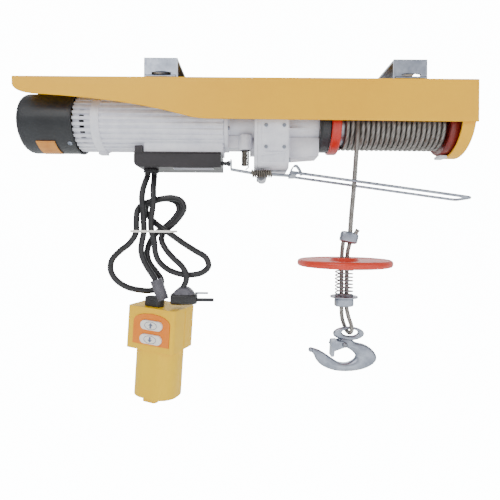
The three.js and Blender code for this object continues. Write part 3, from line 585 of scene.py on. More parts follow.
def refined(
    node: str, finish: Finish, bevel_mm: float = 0.5, steps: int = 2, angle_deg: float = 32.0
) -> bpy.types.Object:
    """Copies a node's mesh, merges it into clean flat faces and rounds its edges.

    Args:
        node: the CAD node that the piece stands for.
        finish: its finish.
        bevel_mm: width of the rounded edge.
        steps: faces across the rounded edge.
        angle_deg: edges that turn by more than this are rounded.

    Returns:
        The new object.
    """
    mesh = frame["nodes"][node].data.copy()
    mesh.name = f"{node}_skin"
    work = bmesh.new()
    work.from_mesh(mesh)
    bmesh.ops.remove_doubles(work, verts=work.verts, dist=3e-6)
    bmesh.ops.dissolve_limit(work, angle_limit=math.radians(0.6), verts=work.verts, edges=work.edges)
    work.to_mesh(mesh)
    work.free()
    mesh.polygons.foreach_set("use_smooth", np.ones(len(mesh.polygons), bool))
    mesh.set_sharp_from_angle(angle=math.radians(angle_deg))
    piece = bpy.data.objects.new(f"{node}_skin", mesh)
    bpy.context.scene.collection.objects.link(piece)
    edge = piece.modifiers.new("rounded_edge", "BEVEL")
    edge.width = bevel_mm * MM
    edge.segments = steps
    edge.limit_method = "ANGLE"
    edge.angle_limit = math.radians(angle_deg)
    edge.harden_normals = True
    return dressed(piece, finish, BODY_OF[node], [node])


def screw_heads(
    name: str, places_mm: Sequence[Sequence[float]], axis: Sequence[float], radius_mm: float,
    finish: Finish, body: str, hexagon: bool = False,
) -> bpy.types.Object:
    """Makes a row of domed or six-sided screw heads as one piece.

    Args:
        name: the piece's name.
        places_mm: the middle of each head's seat.
        axis: the way the heads face.
        radius_mm: the heads' radius.
        finish: their finish.
        body: the body that they ride on.
        hexagon: six-sided heads with a chamfer in place of domed ones with a socket.

    Returns:
        The new object.
    """
    r = radius_mm
    domed = [
        (-0.4 * r, 0), (-0.4 * r, r), (0.35 * r, r), (0.62 * r, 0.72 * r), (0.68 * r, 0.45 * r),
        (0.3 * r, 0.42 * r), (0.3 * r, 0),
    ]
    six = [(-0.3 * r, 0), (-0.3 * r, r), (0.55 * r, r), (0.68 * r, 0.84 * r), (0.68 * r, 0)]
    heads = [
        turned(f"{name}_{i}", six if hexagon else domed, place, axis, 6 if hexagon else 20, 30)
        for i, place in enumerate(places_mm)
    ]
    work = bmesh.new()
    for head in heads:
        work.from_mesh(head.data)
        bpy.data.objects.remove(head)
    mesh = bpy.data.meshes.new(name)
    work.to_mesh(mesh)
    work.free()
    mesh.set_sharp_from_angle(angle=math.radians(30))
    piece = bpy.data.objects.new(name, mesh)
    bpy.context.scene.collection.objects.link(piece)
    return dressed(piece, finish, body)


# ---------- Camera, light and floor ----------


@dataclass
class Studio:
    """The camera, a pale floor that curves up behind the hoist, and soft lights."""

    eye_mm: tuple[float, float, float] = (7.0, -566.5, -192.5)
    lens_mm: float = 29.52
    roll_deg: float = 0.42
    floor_z: float = -0.62
    paper_light: float = 0.35
    paper_seen: float = 14.0

    def camera(self) -> None:
        """Places the camera level with the pendant, a little rolled, and makes it the scene's camera."""
        data = bpy.data.cameras.new("eye")
        data.lens = self.lens_mm
        data.sensor_width = 36.0
        data.shift_y = -0.038
        data.clip_start = 0.01
        eye = bpy.data.objects.new("eye", data)
        level = Matrix.Rotation(math.radians(90), 4, "X")
        turn = level @ Matrix.Rotation(math.radians(self.roll_deg), 4, "Z")
        eye.matrix_world = Matrix.Translation(Vector(self.eye_mm) * MM) @ turn
        bpy.context.scene.collection.objects.link(eye)
        bpy.context.scene.camera = eye

    def floor(self) -> None:
        """Makes the floor: flat in front, then a quarter circle up into a wall."""
        bend = np.linspace(0, np.pi / 2, 24)
        run = np.concatenate([[-6.0], 1.6 + np.sin(bend), [2.6]])
        rise = np.concatenate([[0.0], 1 - np.cos(bend), [5.0]])
        x = np.array([-7.0, 7.0])
        verts = np.stack(
            [np.tile(x, len(run)), np.repeat(run, 2), np.repeat(rise + self.floor_z, 2)],
            axis=1,
        )
        mesh = bpy.data.meshes.new("floor")
        mesh.from_pydata(verts.tolist(), [], grid_faces(len(run), 2, False, False).tolist())
        mesh.polygons.foreach_set("use_smooth", np.ones(len(mesh.polygons), bool))
        sheet = bpy.data.objects.new("floor", mesh)
        paper = bpy.data.materials.new("paper")
        paper.use_nodes = True
        shader = paper.node_tree.nodes["Principled BSDF"]
        shader.inputs["Base Color"].default_value = (0.93, 0.95, 0.95, 1)
        shader.inputs["Roughness"].default_value = 0.9
        shader.inputs["Emission Color"].default_value = (0.97, 1.0, 1.0, 1)
        nodes, links = paper.node_tree.nodes, paper.node_tree.links
        ray = nodes.new("ShaderNodeLightPath")
        glow = nodes.new("ShaderNodeMapRange")
        glow.inputs["To Min"].default_value = self.paper_light
        glow.inputs["To Max"].default_value = self.paper_seen
        links.new(ray.outputs["Is Camera Ray"], glow.inputs["Value"])
        links.new(glow.outputs["Result"], shader.inputs["Emission Strength"])
        mesh.materials.append(paper)
        bpy.context.scene.collection.objects.link(sheet)

    def lamp(
        self, name: str, place: Sequence[float], target: Sequence[float], size: float, power: float
    ) -> None:
        """Adds one square soft light that faces a target."""
        data = bpy.data.lights.new(name, "AREA")
        data.size = size
        data.energy = power
        lamp = bpy.data.objects.new(name, data)
        lamp.location = place
        lamp.rotation_euler = (Vector(target) - Vector(place)).to_track_quat("-Z", "Y").to_euler()
        bpy.context.scene.collection.objects.link(lamp)

    def build(self) -> None:
        """Makes the camera, the floor, the world's light and the lamps."""
        self.camera()
        self.floor()
        world = bpy.data.worlds.new("air")
        world.use_nodes = True
        world.node_tree.nodes["Background"].inputs["Color"].default_value = (0.96, 0.98, 1.0, 1)
        world.node_tree.nodes["Background"].inputs["Strength"].default_value = 0.5
        bpy.context.scene.world = world
        self.lamp("key", (-0.7, -1.3, 0.9), (0, 0, -0.12), 1.2, 15)
        self.lamp("fill", (1.2, -1.2, 0.1), (0, 0, -0.2), 1.4, 7)
        self.lamp("under", (0.0, -0.9, -0.55), (0, 0, -0.15), 1.0, 2.5)
        self.lamp("back", (0.3, 1.2, 0.8), (0, 0, -0.1), 1.4, 9)


# ---------- Sub-assemblies ----------


@dataclass
class Frame:
    """The folded channel, the two hanging brackets with their bolts, and the drum's end cap."""

    bracket_lefts: tuple[float, float] = (-128.5, 187.0)
    bracket_width: float = 42.5
    sheet: float = 2.5

    def build(self) -> None:
        """Makes and dresses the frame's pieces."""
        refined("frame_channel", YELLOW, 1.0, 3, 30)
        refined("drum_end_cap", YELLOW, 0.9, 3, 30)
        for side in ("left", "right"):
            refined(f"bracket_{side}", ZINC, 0.8, 3)
            refined(f"bracket_bolts_{side}", STEEL, 0.5)
        self.bracket_ears()
        refined("end_lug", CASTING, 1.2, 3)
        refined("end_bearing", STEEL, 0.4)
        cap = [(x, y, z) for x, y, z in ((292.2, -30, -14), (292.2, 30, -14), (292.2, 0, -78))]
        screw_heads("cap_screws", cap, (1, 0, 0), 3.4, ZINC, "chassis")

    def bracket_ears(self) -> None:
        """Makes the short lip that runs along the foot of each bracket leg.

        Each lip's section is a shallow wave: height over the frame falls as the cosine of the way out.
        """
        out = np.linspace(0, 1, 10)
        for name, left in zip(("left", "right"), self.bracket_lefts):
            for side, word in ((-1, "front"), (1, "back")):
                y = side * (49.3 + 3.6 * out)
                z = 0.7 + 2.4 * (0.5 + 0.5 * np.cos(np.pi * out))
                line = np.stack([y, z], axis=1)
                thick = np.vstack([line, line[::-1] + [0, 0.9]])
                x = np.array([left + 2.0, left + self.bracket_width - 2.0])
                verts = np.stack(
                    [np.repeat(x, len(thick)), np.tile(thick[:, 0], 2), np.tile(thick[:, 1], 2)], axis=1
                )
                faces = grid_faces(2, len(thick), False, True)
                verts, faces = capped(verts, faces, 2, len(thick))
                mesh = bpy.data.meshes.new(f"bracket_lip_{name}_{word}")
                mesh.from_pydata((verts * MM).tolist(), [], clean_faces(faces))
                piece = bpy.data.objects.new(mesh.name, mesh)
                bpy.context.scene.collection.objects.link(piece)
                outward(piece)
                dressed(piece, ZINC, "chassis")


@dataclass
class Motor:
    """The fan cover, the vent ring, the finned housing, the end shield and what turns inside."""

    axis_z: float = -47.5

    def build(self) -> None:
        """Makes and dresses the motor's pieces."""
        refined("fan_cover", COVER, 0.8, 3, 38)
        refined("cover_patch", PATCH, 0.4)
        refined("vent_ring", CASTING, 0.5, 2, 38)
        refined("motor_housing", FINS, 0.45, 2, 30)
        refined("drive_shield", CASTING, 1.2, 3, 38)
        refined("stator", COPPER, 0.3)
        for node in ("rear_bearing", "front_bearing", "rotor"):
            refined(node, STEEL, 0.3)
        refined("fan", BLACK, 0.4)
        z = self.axis_z
        slant = math.radians(50)
        facing = (0, -math.cos(slant), -math.sin(slant))
        place = (-231.0, 39.9 * facing[1], z + 39.9 * facing[2])
        screw_heads("cover_screw", [place], facing, 3.0, ZINC, "chassis")
        around = [math.radians(a) for a in (20, 90, 160, 200, 270, 340)]
        tips = [(-22.4, 29.5 * math.cos(a), z + 29.5 * math.sin(a)) for a in around]
        screw_heads("shield_screws", tips, (1, 0, 0), 2.6, ZINC, "chassis", True)


@dataclass
class Gearbox:
    """The gear housing, its front plate, its gears and its bearings."""

    axis_z: float = -47.5

    def build(self) -> None:
        """Makes and dresses the gearbox's pieces."""
        refined("gear_housing", CASTING, 1.6, 3, 30)
        refined("gearbox_front_plate", CASTING, 0.9, 3)
        for node in ("output_bearing", "countershaft_bearing", "countershaft", "output_wheel"):
            refined(node, STEEL, 0.25)
        corners = [(x, -47.0, z) for x in (26.5, 49.5) for z in (-85.5, -58.0)]
        screw_heads("plate_screws", corners, (0, -1, 0), 2.6, ZINC, "chassis", True)
        flange = [(56.3, y, z) for y, z in ((-36, -20), (-36, -100), (27, -20), (27, -100))]
        screw_heads("housing_screws", flange, (1, 0, 0), 3.2, ZINC, "chassis", True)
        self.ribs()

    def ribs(self) -> None:
        """Makes the cast ribs that brace the neck to the housing: plates with a hollow curved edge.

        A rib's radius from the axis falls from the housing to the neck as the square of the way left.
        """
        way = np.linspace(0, 1, 12)
        for i, turn in enumerate((200, 245, 295, 340)):
            a = math.radians(turn)
            x = 56.2 + 34 * way
            reach = 25.2 + 12.5 * (1 - way) ** 2
            inner = np.full_like(reach, 24.0)
            loop_x = np.concatenate([x, x[::-1]])
            loop_r = np.concatenate([reach, inner])
            out = np.array([0.0, math.cos(a), math.sin(a)])
            across = np.array([0.0, -math.sin(a), math.cos(a)])
            flat = np.stack([loop_x, np.zeros_like(loop_x), np.full_like(loop_x, self.axis_z)], axis=1)
            flat = flat + loop_r[:, None] * out
            verts = np.vstack([flat - 1.5 * across, flat + 1.5 * across]) * MM
            count = len(loop_x)
            sides = grid_faces(2, count, False, True).tolist()
            strip = [[k, k + 1, count - 2 - k, count - 1 - k] for k in range(count // 2 - 1)]
            other = [[count + v for v in reversed(face)] for face in strip]
            mesh = bpy.data.meshes.new(f"neck_rib_{i}")
            mesh.from_pydata(verts.tolist(), [], sides + strip + other)
            piece = bpy.data.objects.new(mesh.name, mesh)
            bpy.context.scene.collection.objects.link(piece)
            outward(piece)
            dressed(piece, CASTING, "chassis")


@dataclass
class Drum:
    """The collar, the drum with its flanges, and the rope wound on it."""

    axis_z: float = -47.5
    turns: int = 20
    pitch: float = 6.65
    wrap_radius: float = 29.9
    rope_radius: float = 3.2
    first_x: float = 129.2
    fall_x: float = 147.4

    def flange(self, name: str, left: float, width: float, finish: Finish) -> None:
        """Makes one flange: a disc with a rolled rim, a shallow dish and a hub."""
        right = left + width
        profile = [
            (left, 8.4), (left, 14), (left + 1.2, 16), (left + 1.2, 34), (left + 0.4, 35.6),
            (left, 37.2), (left + 0.8, 38.6), (left + 2.4, 39), (right - 2.4, 39),
            (right - 0.8, 38.6), (right, 37.2), (right - 0.4, 35.6), (right - 1.2, 34),
            (right - 1.2, 16), (right, 14), (right, 8.4), (left, 8.4),
        ]
        piece = turned(name, profile, (0, 0, self.axis_z), Axis.X.value, 96, 50)
        dressed(piece, finish, "drum", [name.removesuffix("_turned")])

    def wrap(self) -> None:
        """Winds the rope: a helix about the drum's axis, one turn beside the next.

        The start is turned so that the rope is at the drum's front where it falls to the hook.
        """
        a = np.linspace(0, self.turns * 2 * np.pi, self.turns * 120)
        step = self.first_x + self.pitch * a / (2 * np.pi)
        turn = a + np.pi - 2 * np.pi * (self.fall_x - self.first_x) / self.pitch
        y = self.wrap_radius * np.cos(turn)
        z = self.axis_z + self.wrap_radius * np.sin(turn)
        path = np.stack([step, y, z], axis=1) * MM
        rope = tube("rope_turns", path, self.rope_radius * MM, (1, 0, 0), 16, 6, 0.022)
        dressed(rope, WIRE, "drum", ["rope_wrap"])

    def build(self) -> None:
        """Makes and dresses the drum's pieces."""
        self.flange("drum_flange_left_turned", 112.3, 13.0, RED)
        # The right flange takes the red lacquer's painted shade copy, not a different paint.
        self.flange("drum_flange_right_turned", 266.0, 13.0, RED_PAINTED_SHADE)
        refined("drum_barrel", STEEL, 0.4)
        refined("drum_collar", BLACK, 0.8, 3)
        self.wrap()


@dataclass
class ControlBox:
    """The switch box under the motor, with its lid, label, gland, switch and plunger."""

    def build(self) -> None:
        """Makes and dresses the box's pieces."""
        refined("control_box", BOX, 1.1, 3, 25)
        refined("control_box_lid", BOX, 0.7, 2)
        refined("box_label", LABEL, 0.3)
        refined("capacitor", ZINC, 0.6)
        refined("limit_switch", BLACK, 0.6)
        refined("plunger", BLACK, 0.35)
        refined("cable_gland", RUBBER, 1.0, 3)
        frame_line = [(-94, -22.5), (-44, -22.5), (-44, -12.5), (-94, -12.5)]
        self.label_line(frame_line)

    def label_line(self, corners: Sequence[tuple[float, float]]) -> None:
        """Makes the thin plain border on the label: a square wire carried round a rectangle."""
        loop = np.array([*corners, corners[0]], float)
        way = np.linspace(0, len(corners), 4 * 12 + 1)
        path = np.stack([np.interp(way, np.arange(len(loop)), loop[:, k]) for k in (0, 1)], axis=1)
        path = np.column_stack([path, np.full(len(path), -110.2)]) * MM
        piece = tube("label_border", path, 0.35 * MM, (0, 0, 1), 6)
        dressed(piece, INK, "chassis")


@dataclass
class LimitGear:
    """The lever under the gearbox, its pin and spring, and the wire loop that the stop disc lifts."""

    loop_left: float = 66.4
    loop_right: float = 286.0
    front: float = -50.0
    back: float = -8.0
    start_z: float = -118.9
    slope_deg: float = 7.6
    coil_y: float = -39.0
    coil_z: float = -118.5

    def loop(self) -> None:
        """Bends the wire loop: two straight sides that fall to the right, joined by a square end."""
        fall = math.tan(math.radians(self.slope_deg))
        r = self.loop_right
        flat = np.array([
            (59, self.back), (140, self.back), (r - 12, self.back), (r - 5, self.back - 0.3),
            (r - 1.2, self.back - 2.5), (r, self.back - 7), (r, -29), (r, self.front + 7),
            (r - 1.2, self.front + 2.5), (r - 5, self.front + 0.3), (r - 12, self.front),
            (140, self.front), (59, self.front),
        ])
        z = self.start_z - (flat[:, 0] - self.loop_left) * fall
        path = smooth_line(np.column_stack([flat, z]), 260) * MM
        dressed(tube("wire_loop_bent", path, 1.9 * MM, (0, 0, 1), 14), ZINC, "lever", ["wire_loop"])

    def spring(self) -> None:
        """Winds the lever's extension spring, with a hooked end above and below."""
        a = np.linspace(0, 11 * 2 * np.pi, 11 * 28)
        drop = np.linspace(-84.5, -105.5, len(a))
        coil = np.stack([4.6 * np.cos(a), -15 + 4.6 * np.sin(a), drop], axis=1)
        top = np.array([(0.4, -15, -79.9), (2.5, -15, -81.5), (4.4, -15.2, -83.4)])
        foot = np.array([(4.4, -15, -106.6), (2.6, -15, -108.4), (0.4, -15, -110.2)])
        path = smooth_line(np.vstack([top, coil[::4], foot]), 700) * MM
        piece = tube("lever_spring_coil", path, 0.8 * MM, (0.05, 0, 1), 8)
        dressed(piece, BRONZE, "chassis", ["lever_spring"])

    def pivot_coil(self) -> None:
        """Winds the coil that lies across the front of the lever's pin, along X."""
        a = np.linspace(0, 9 * 2 * np.pi, 9 * 36)
        path = np.stack([
            np.linspace(8.5, 34.5, len(a)), self.coil_y + 4.4 * np.cos(a), self.coil_z + 4.4 * np.sin(a),
        ], axis=1) * MM
        dressed(tube("pivot_coil", path, 1.0 * MM, (1, 0, 0), 10), BRONZE, "chassis")

    def build(self) -> None:
        """Makes and dresses the limit gear's pieces."""
        refined("limit_lever", ZINC, 0.35)
        refined("lever_pin", STEEL, 0.5, 2)
        self.loop()
        self.spring()
        self.pivot_coil()


@dataclass
class HookLine:
    """The falling rope, its ferrules, the stop disc and its spring, and the hook with its latch."""

    x: float = 130.5
    y: float = -30.0
    disc_radius: float = 61.0

    def fall(self) -> None:
        """Hangs the rope from the drum's front down into the upper ferrule."""
        points = np.array([
            (147.4, -29.9, -47.5), (147.1, -30, -60), (146.4, -30, -76), (145, -30, -95),
            (142.5, -30, -135), (139.5, -30, -170), (138.0, -30, -194.5),
        ])
        rope = tube("rope_fall_twisted", smooth_line(points, 260) * MM, 3.2 * MM, (0, 1, 0), 24, 6, 0.024)
        dressed(rope, WIRE, "chassis", ["rope_fall"])
        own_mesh(rope)

    def bight(self) -> None:
        """Runs the rope from the upper ferrule down through the disc, round the hook's eye and back up."""
        points = np.array([
            (129, -31, -204), (127.6, -30.4, -218), (127.2, -30, -232), (127.2, -30, -250),
            (127.2, -30, -277), (127.4, -30, -293), (128.6, -27, -304), (131.5, -23.4, -313),
            (134, -22.9, -319), (135.6, -24.6, -322.6), (137, -30, -324.2), (138.4, -35.4, -322.6),
            (139.2, -37.1, -319), (138.6, -36.6, -313), (136.2, -33, -304), (134.2, -30, -293),
            (134, -30, -277), (134, -30, -250), (134.2, -30, -232), (135, -30.4, -218),
            (138.2, -31, -205),
        ])
        path = smooth_line(points, 560) * MM
        piece = tube("rope_bight", path, 2.8 * MM, (1, 0, 0), 24, 6, 0.022)
        dressed(piece, WIRE, "rope_end", ["rope_loop"])

    def rope_tail(self) -> None:
        """Leaves the rope's cut end standing out of the upper ferrule."""
        points = np.array([(140.6, -32.8, -201), (144.8, -33.2, -194), (147.4, -33.6, -189.5)])
        piece = tube("rope_tail", smooth_line(points, 40) * MM, 2.9 * MM, (0, 1, 0), 24, 6, 0.022)
        dressed(piece, WIRE, "rope_end")

    def ferrule(
        self, name: str, node: str, centre: Sequence[float], size: Sequence[float], tilt_deg: float
    ) -> None:
        """Presses a ferrule: an oval sleeve whose section swells in the middle and closes at both ends.

        Along the sleeve the half width is its full value times the fourth root of one minus the way squared.
        """
        way = np.linspace(-1, 1, 25)
        swell = np.clip(1 - way**6, 0, 1) ** 0.25
        swell = np.maximum(swell, 0.55)
        a = np.arange(40) / 40 * 2 * np.pi
        c, s = np.cos(a), np.sin(a)
        c = np.sign(c) * np.abs(c) ** 0.72
        s = np.sign(s) * np.abs(s) ** 0.72
        u = size[0] / 2 * swell[:, None] * c
        v = size[1] / 2 * swell[:, None] * s
        w = np.broadcast_to(size[2] / 2 * way[:, None], u.shape)
        t = math.radians(tilt_deg)
        x = centre[0] + u * math.cos(t) + w * math.sin(t)
        z = centre[2] - u * math.sin(t) + w * math.cos(t)
        verts = np.stack([x, centre[1] + v, z], axis=2).reshape(-1, 3) * MM
        faces = grid_faces(len(way), len(a), False, True)
        verts, faces = capped(verts, faces, len(way), len(a))
        mesh = bpy.data.meshes.new(name)
        mesh.from_pydata(verts.tolist(), [], clean_faces(faces))
        mesh.polygons.foreach_set("use_smooth", np.ones(len(mesh.polygons), bool))
        mesh.set_sharp_from_angle(angle=math.radians(50))
        piece = bpy.data.objects.new(name, mesh)
        bpy.context.scene.collection.objects.link(piece)
        outward(piece)
        dressed(piece, ZINC, "rope_end", [node])

    def disc(self) -> None:
        """Turns the stop disc: a thin dish with a thick rounded rim and a hub."""
        r = self.disc_radius
        profile = [
            (-236, 9), (-236, 15), (-235, 17), (-234.6, r - 9), (-237, r - 7), (-237.5, r - 4),
            (-236.8, r - 1.5), (-235, r - 0.2), (-232, r), (-229.6, r - 0.9), (-228.4, r - 3),
            (-228.6, r - 6), (-230.2, r - 8.5), (-230.2, 20), (-228, 17.5), (-226.2, 16.4),
            (-226, 14), (-226, 9), (-236, 9),
        ]
        piece = turned("stop_disc_moulded", profile, (self.x, self.y, 0), Axis.Z.value, 128, 40)
        dressed(piece, DISC, "disc", ["stop_disc"])

    def spring(self) -> None:
        """Winds the buffer spring with one closed turn at each end."""
        a = np.linspace(0, 10 * 2 * np.pi, 10 * 40)
        share = np.clip((a / (2 * np.pi) - 0.9) / 8.2, 0, 1)
        z = -237.8 + (-275.2 + 237.8) * share
        path = np.stack([self.x + 11 * np.cos(a), self.y + 11 * np.sin(a), z], axis=1) * MM
        piece = tube("buffer_spring_coil", path, 0.9 * MM, (0, 0, 1), 10)
        dressed(piece, STEEL, "rope_end", ["buffer_spring"])
        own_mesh(piece)

    def bowl(self) -> None:
        """Forges the hook's bowl between its outer and inner lines, thinnest at the tip."""
        outer = np.array([
            (129.5, -331.0), (138.5, -332.2), (146, -336.6), (156.5, -339.2), (165.6, -344.2),
            (172.0, -351.6), (173.4, -358), (170.2, -363.6), (163.5, -368.2), (154.5, -371.8),
            (143.5, -373.9), (132, -374.6), (120, -373.9), (109, -370.9), (100.6, -366.4),
            (94.4, -360), (91.4, -353.6), (88.8, -350.3),
        ])
        inner = np.array([
            (123.9, -335.4), (126.4, -339.6), (131.4, -342.6), (137.4, -345.6), (142, -349),
            (145, -352.4), (145.6, -355), (143.4, -358.6), (140.2, -360.8), (136.8, -362.4),
            (133.6, -363.2), (129.4, -363.4), (123.0, -362.2), (116.4, -358.4), (110.2, -354.2),
            (103.0, -349.6), (96.2, -346.1), (90.2, -344.3),
        ])
        half = np.array([4.2, 4.8, 5.2, 5.6, 5.9, 6, 6, 6, 6, 6, 5.9, 5.8, 5.6, 5.2, 4.8, 4.3, 3.6, 2.9])
        line = smooth_line(np.column_stack([outer, inner, half]), 110)
        piece = lofted("hook_bowl", line[:, :2], line[:, 2:4], self.y, line[:, 4], False, 36, 2.5)
        dressed(piece, ZINC, "hook_body", ["hook"])
        r = 3.3
        arc = [(-r * math.cos(b), r * math.sin(b)) for b in np.linspace(0.15, 3.0, 22)]
        knob = [(-r, 0), *arc, (r, 0)]
        ball = turned("hook_tip", knob, (87.6, self.y, -346.9), (-0.9, 0, 0.4), 36, 80)
        dressed(ball, ZINC, "hook_body")

    def eye(self) -> None:
        """Forges the hook's eye: a ring between two ovals whose middles are a little apart."""
        a = np.arange(84) / 84 * 2 * np.pi
        outer = np.stack([136.8 + 20.4 * np.cos(a), -325.5 + 9.1 * np.sin(a)], axis=1)
        inner = np.stack([138.4 + 10.2 * np.cos(a), -324 + 4.3 * np.sin(a)], axis=1)
        piece = lofted("hook_eye", outer, inner, self.y, np.full(len(a), 3.6), True, 28, 2.2)
        dressed(piece, ZINC, "hook_body")

    def pin(self) -> None:
        """Makes the latch's rivet with a domed head at each end."""
        r = 3.4
        half = [(8.6, 2), (8.6, r), (9.6, r), (10.6, 2.8), (11.2, 1.6), (11.4, 0)]
        dome = [(-x, radius) for x, radius in reversed(half)] + half
        piece = turned("latch_rivet", dome, (130.5, self.y, -338.5), Axis.Y.value, 28, 50)
        dressed(piece, STEEL, "hook_body")

    def build(self) -> None:
        """Makes and dresses the hook line's pieces."""
        self.fall()
        self.bight()
        self.rope_tail()
        self.ferrule("upper_ferrule_pressed", "upper_ferrule", (136.5, -30, -200), (23.6, 13.6, 15), 12)
        self.ferrule("lower_ferrule_pressed", "lower_ferrule", (130.5, -30, -284.7), (25, 13, 12), 0)
        refined("spring_washer", ZINC, 0.4)
        self.disc()
        self.spring()
        self.bowl()
        self.eye()
        self.pin()
        refined("hook_latch", ZINC, 0.4)


@dataclass
class Pendant:
    """The two-button control that hangs on its lead, turned a little to the left."""

    place_mm: tuple[float, float, float] = (-113.4, 2.9, -296.0)
    yaw_deg: float = -20.0
    roll_deg: float = 3.5
    keys: dict[str, float] = field(default_factory=lambda: {"up": -22.0, "down": -40.5})

    def matrix(self) -> Matrix:
        """Gives the place of the pendant's own axes: turned about Z, then tilted about its own Y."""
        yaw = Matrix.Rotation(math.radians(self.yaw_deg), 4, "Z")
        roll = Matrix.Rotation(math.radians(self.roll_deg), 4, "Y")
        return Matrix.Translation(Vector(self.place_mm) * MM) @ yaw @ roll

    def placed(self, local_mm: Points) -> Points:
        """Moves points from the pendant's own millimetres into place, in metres."""
        m = np.array(self.matrix())
        return local_mm * MM @ m[:3, :3].T + m[:3, 3]

    def arrow(self, side: str, z: float) -> None:
        """Raises a plain arrow in a ring on a key, pointing up or down."""
        sign = 1 if side == "up" else -1
        flat = np.array(
            [(0, 3.6), (3.4, 0.2), (1.3, 0.2), (1.3, -3.4), (-1.3, -3.4), (-1.3, 0.2), (-3.4, 0.2)]
        )
        flat[:, 1] *= sign
        count = len(flat)
        local = np.vstack([
            np.column_stack([flat[:, 0] + 3, np.full(count, y), flat[:, 1] + z]) for y in (-31.9, -32.35)
        ])
        faces = [[k, (k + 1) % count, count + (k + 1) % count, count + k] for k in range(count)]
        faces += [list(range(count)), list(range(count, 2 * count))]
        mesh = bpy.data.meshes.new(f"{side}_arrow")
        mesh.from_pydata(self.placed(local).tolist(), [], faces)
        piece = bpy.data.objects.new(mesh.name, mesh)
        bpy.context.scene.collection.objects.link(piece)
        outward(piece)
        dressed(piece, INK, f"{side}_key")
        a = np.linspace(0, 2 * np.pi, 49)
        ring = np.column_stack([3 + 9.2 * np.cos(a), np.full(49, -32.1), z + 5.0 * np.sin(a)])
        piece = tube(f"{side}_ring", self.placed(ring), 0.3 * MM, (0.342, 0.94, 0), 8)
        dressed(piece, INK, f"{side}_key")

    def boot(self) -> None:
        """Moulds the lead's ribbed boot: a sleeve whose radius rises and falls along it."""
        start = np.array([-119.7, -12.0, -259.2])
        end = np.array([-109.9, -12.0, -286.0])
        along = end - start
        length = float(np.linalg.norm(along))
        way = np.linspace(0, length, 90)
        rib = 0.45 * (0.5 + 0.5 * np.tanh(6 * np.cos(way / length * 7 * 2 * np.pi)))
        radius = 8.0 - 0.4 * way / length + rib
        ribs = zip(way[2:] + 0.2, radius[2:])
        profile = [(0.4, 4.2), (0, 5), (0, radius[0] - 0.8), *ribs, (length, 4.2), (0.4, 4.2)]
        piece = turned("pendant_boot_ribbed", profile, start, along, 48, 60)
        dressed(piece, BOOT, "pendant", ["pendant_boot"])

    def build(self) -> None:
        """Makes and dresses the pendant's pieces."""
        refined("pendant_case", PENDANT, 1.6, 4, 28)
        # The front cover's orange is painted shade on the yellow case's front face.
        refined("pendant_cover", PANEL_PAINTED_SHADE, 0.7, 3)
        refined("switch_block", BLACK, 0.5)
        refined("pendant_gland", RUBBER, 1.2, 3)
        self.boot()
        for side, z in self.keys.items():
            refined(f"{side}_button", WHITE, 1.1, 4, 40)
            self.arrow(side, z)
        corners = np.array([(x, 28.3, z) for z in (-10, -48) for x in (-26.0, 26.0)])
        screws = self.placed(corners) / MM
        facing = np.array(self.matrix())[:3, 1]
        screw_heads("case_screws", screws.tolist(), facing, 2.6, ZINC, "pendant")
        for side, x in (("left", -37.6), ("right", 35.6)):
            line = smooth_line(np.array([(x, 2, -3), (x, 2, -54)]), 30)
            piece = tube(f"case_seam_{side}", self.placed(line), 0.45 * MM, (0.3, 0.9, 0), 8)
            dressed(piece, PENDANT, "pendant")


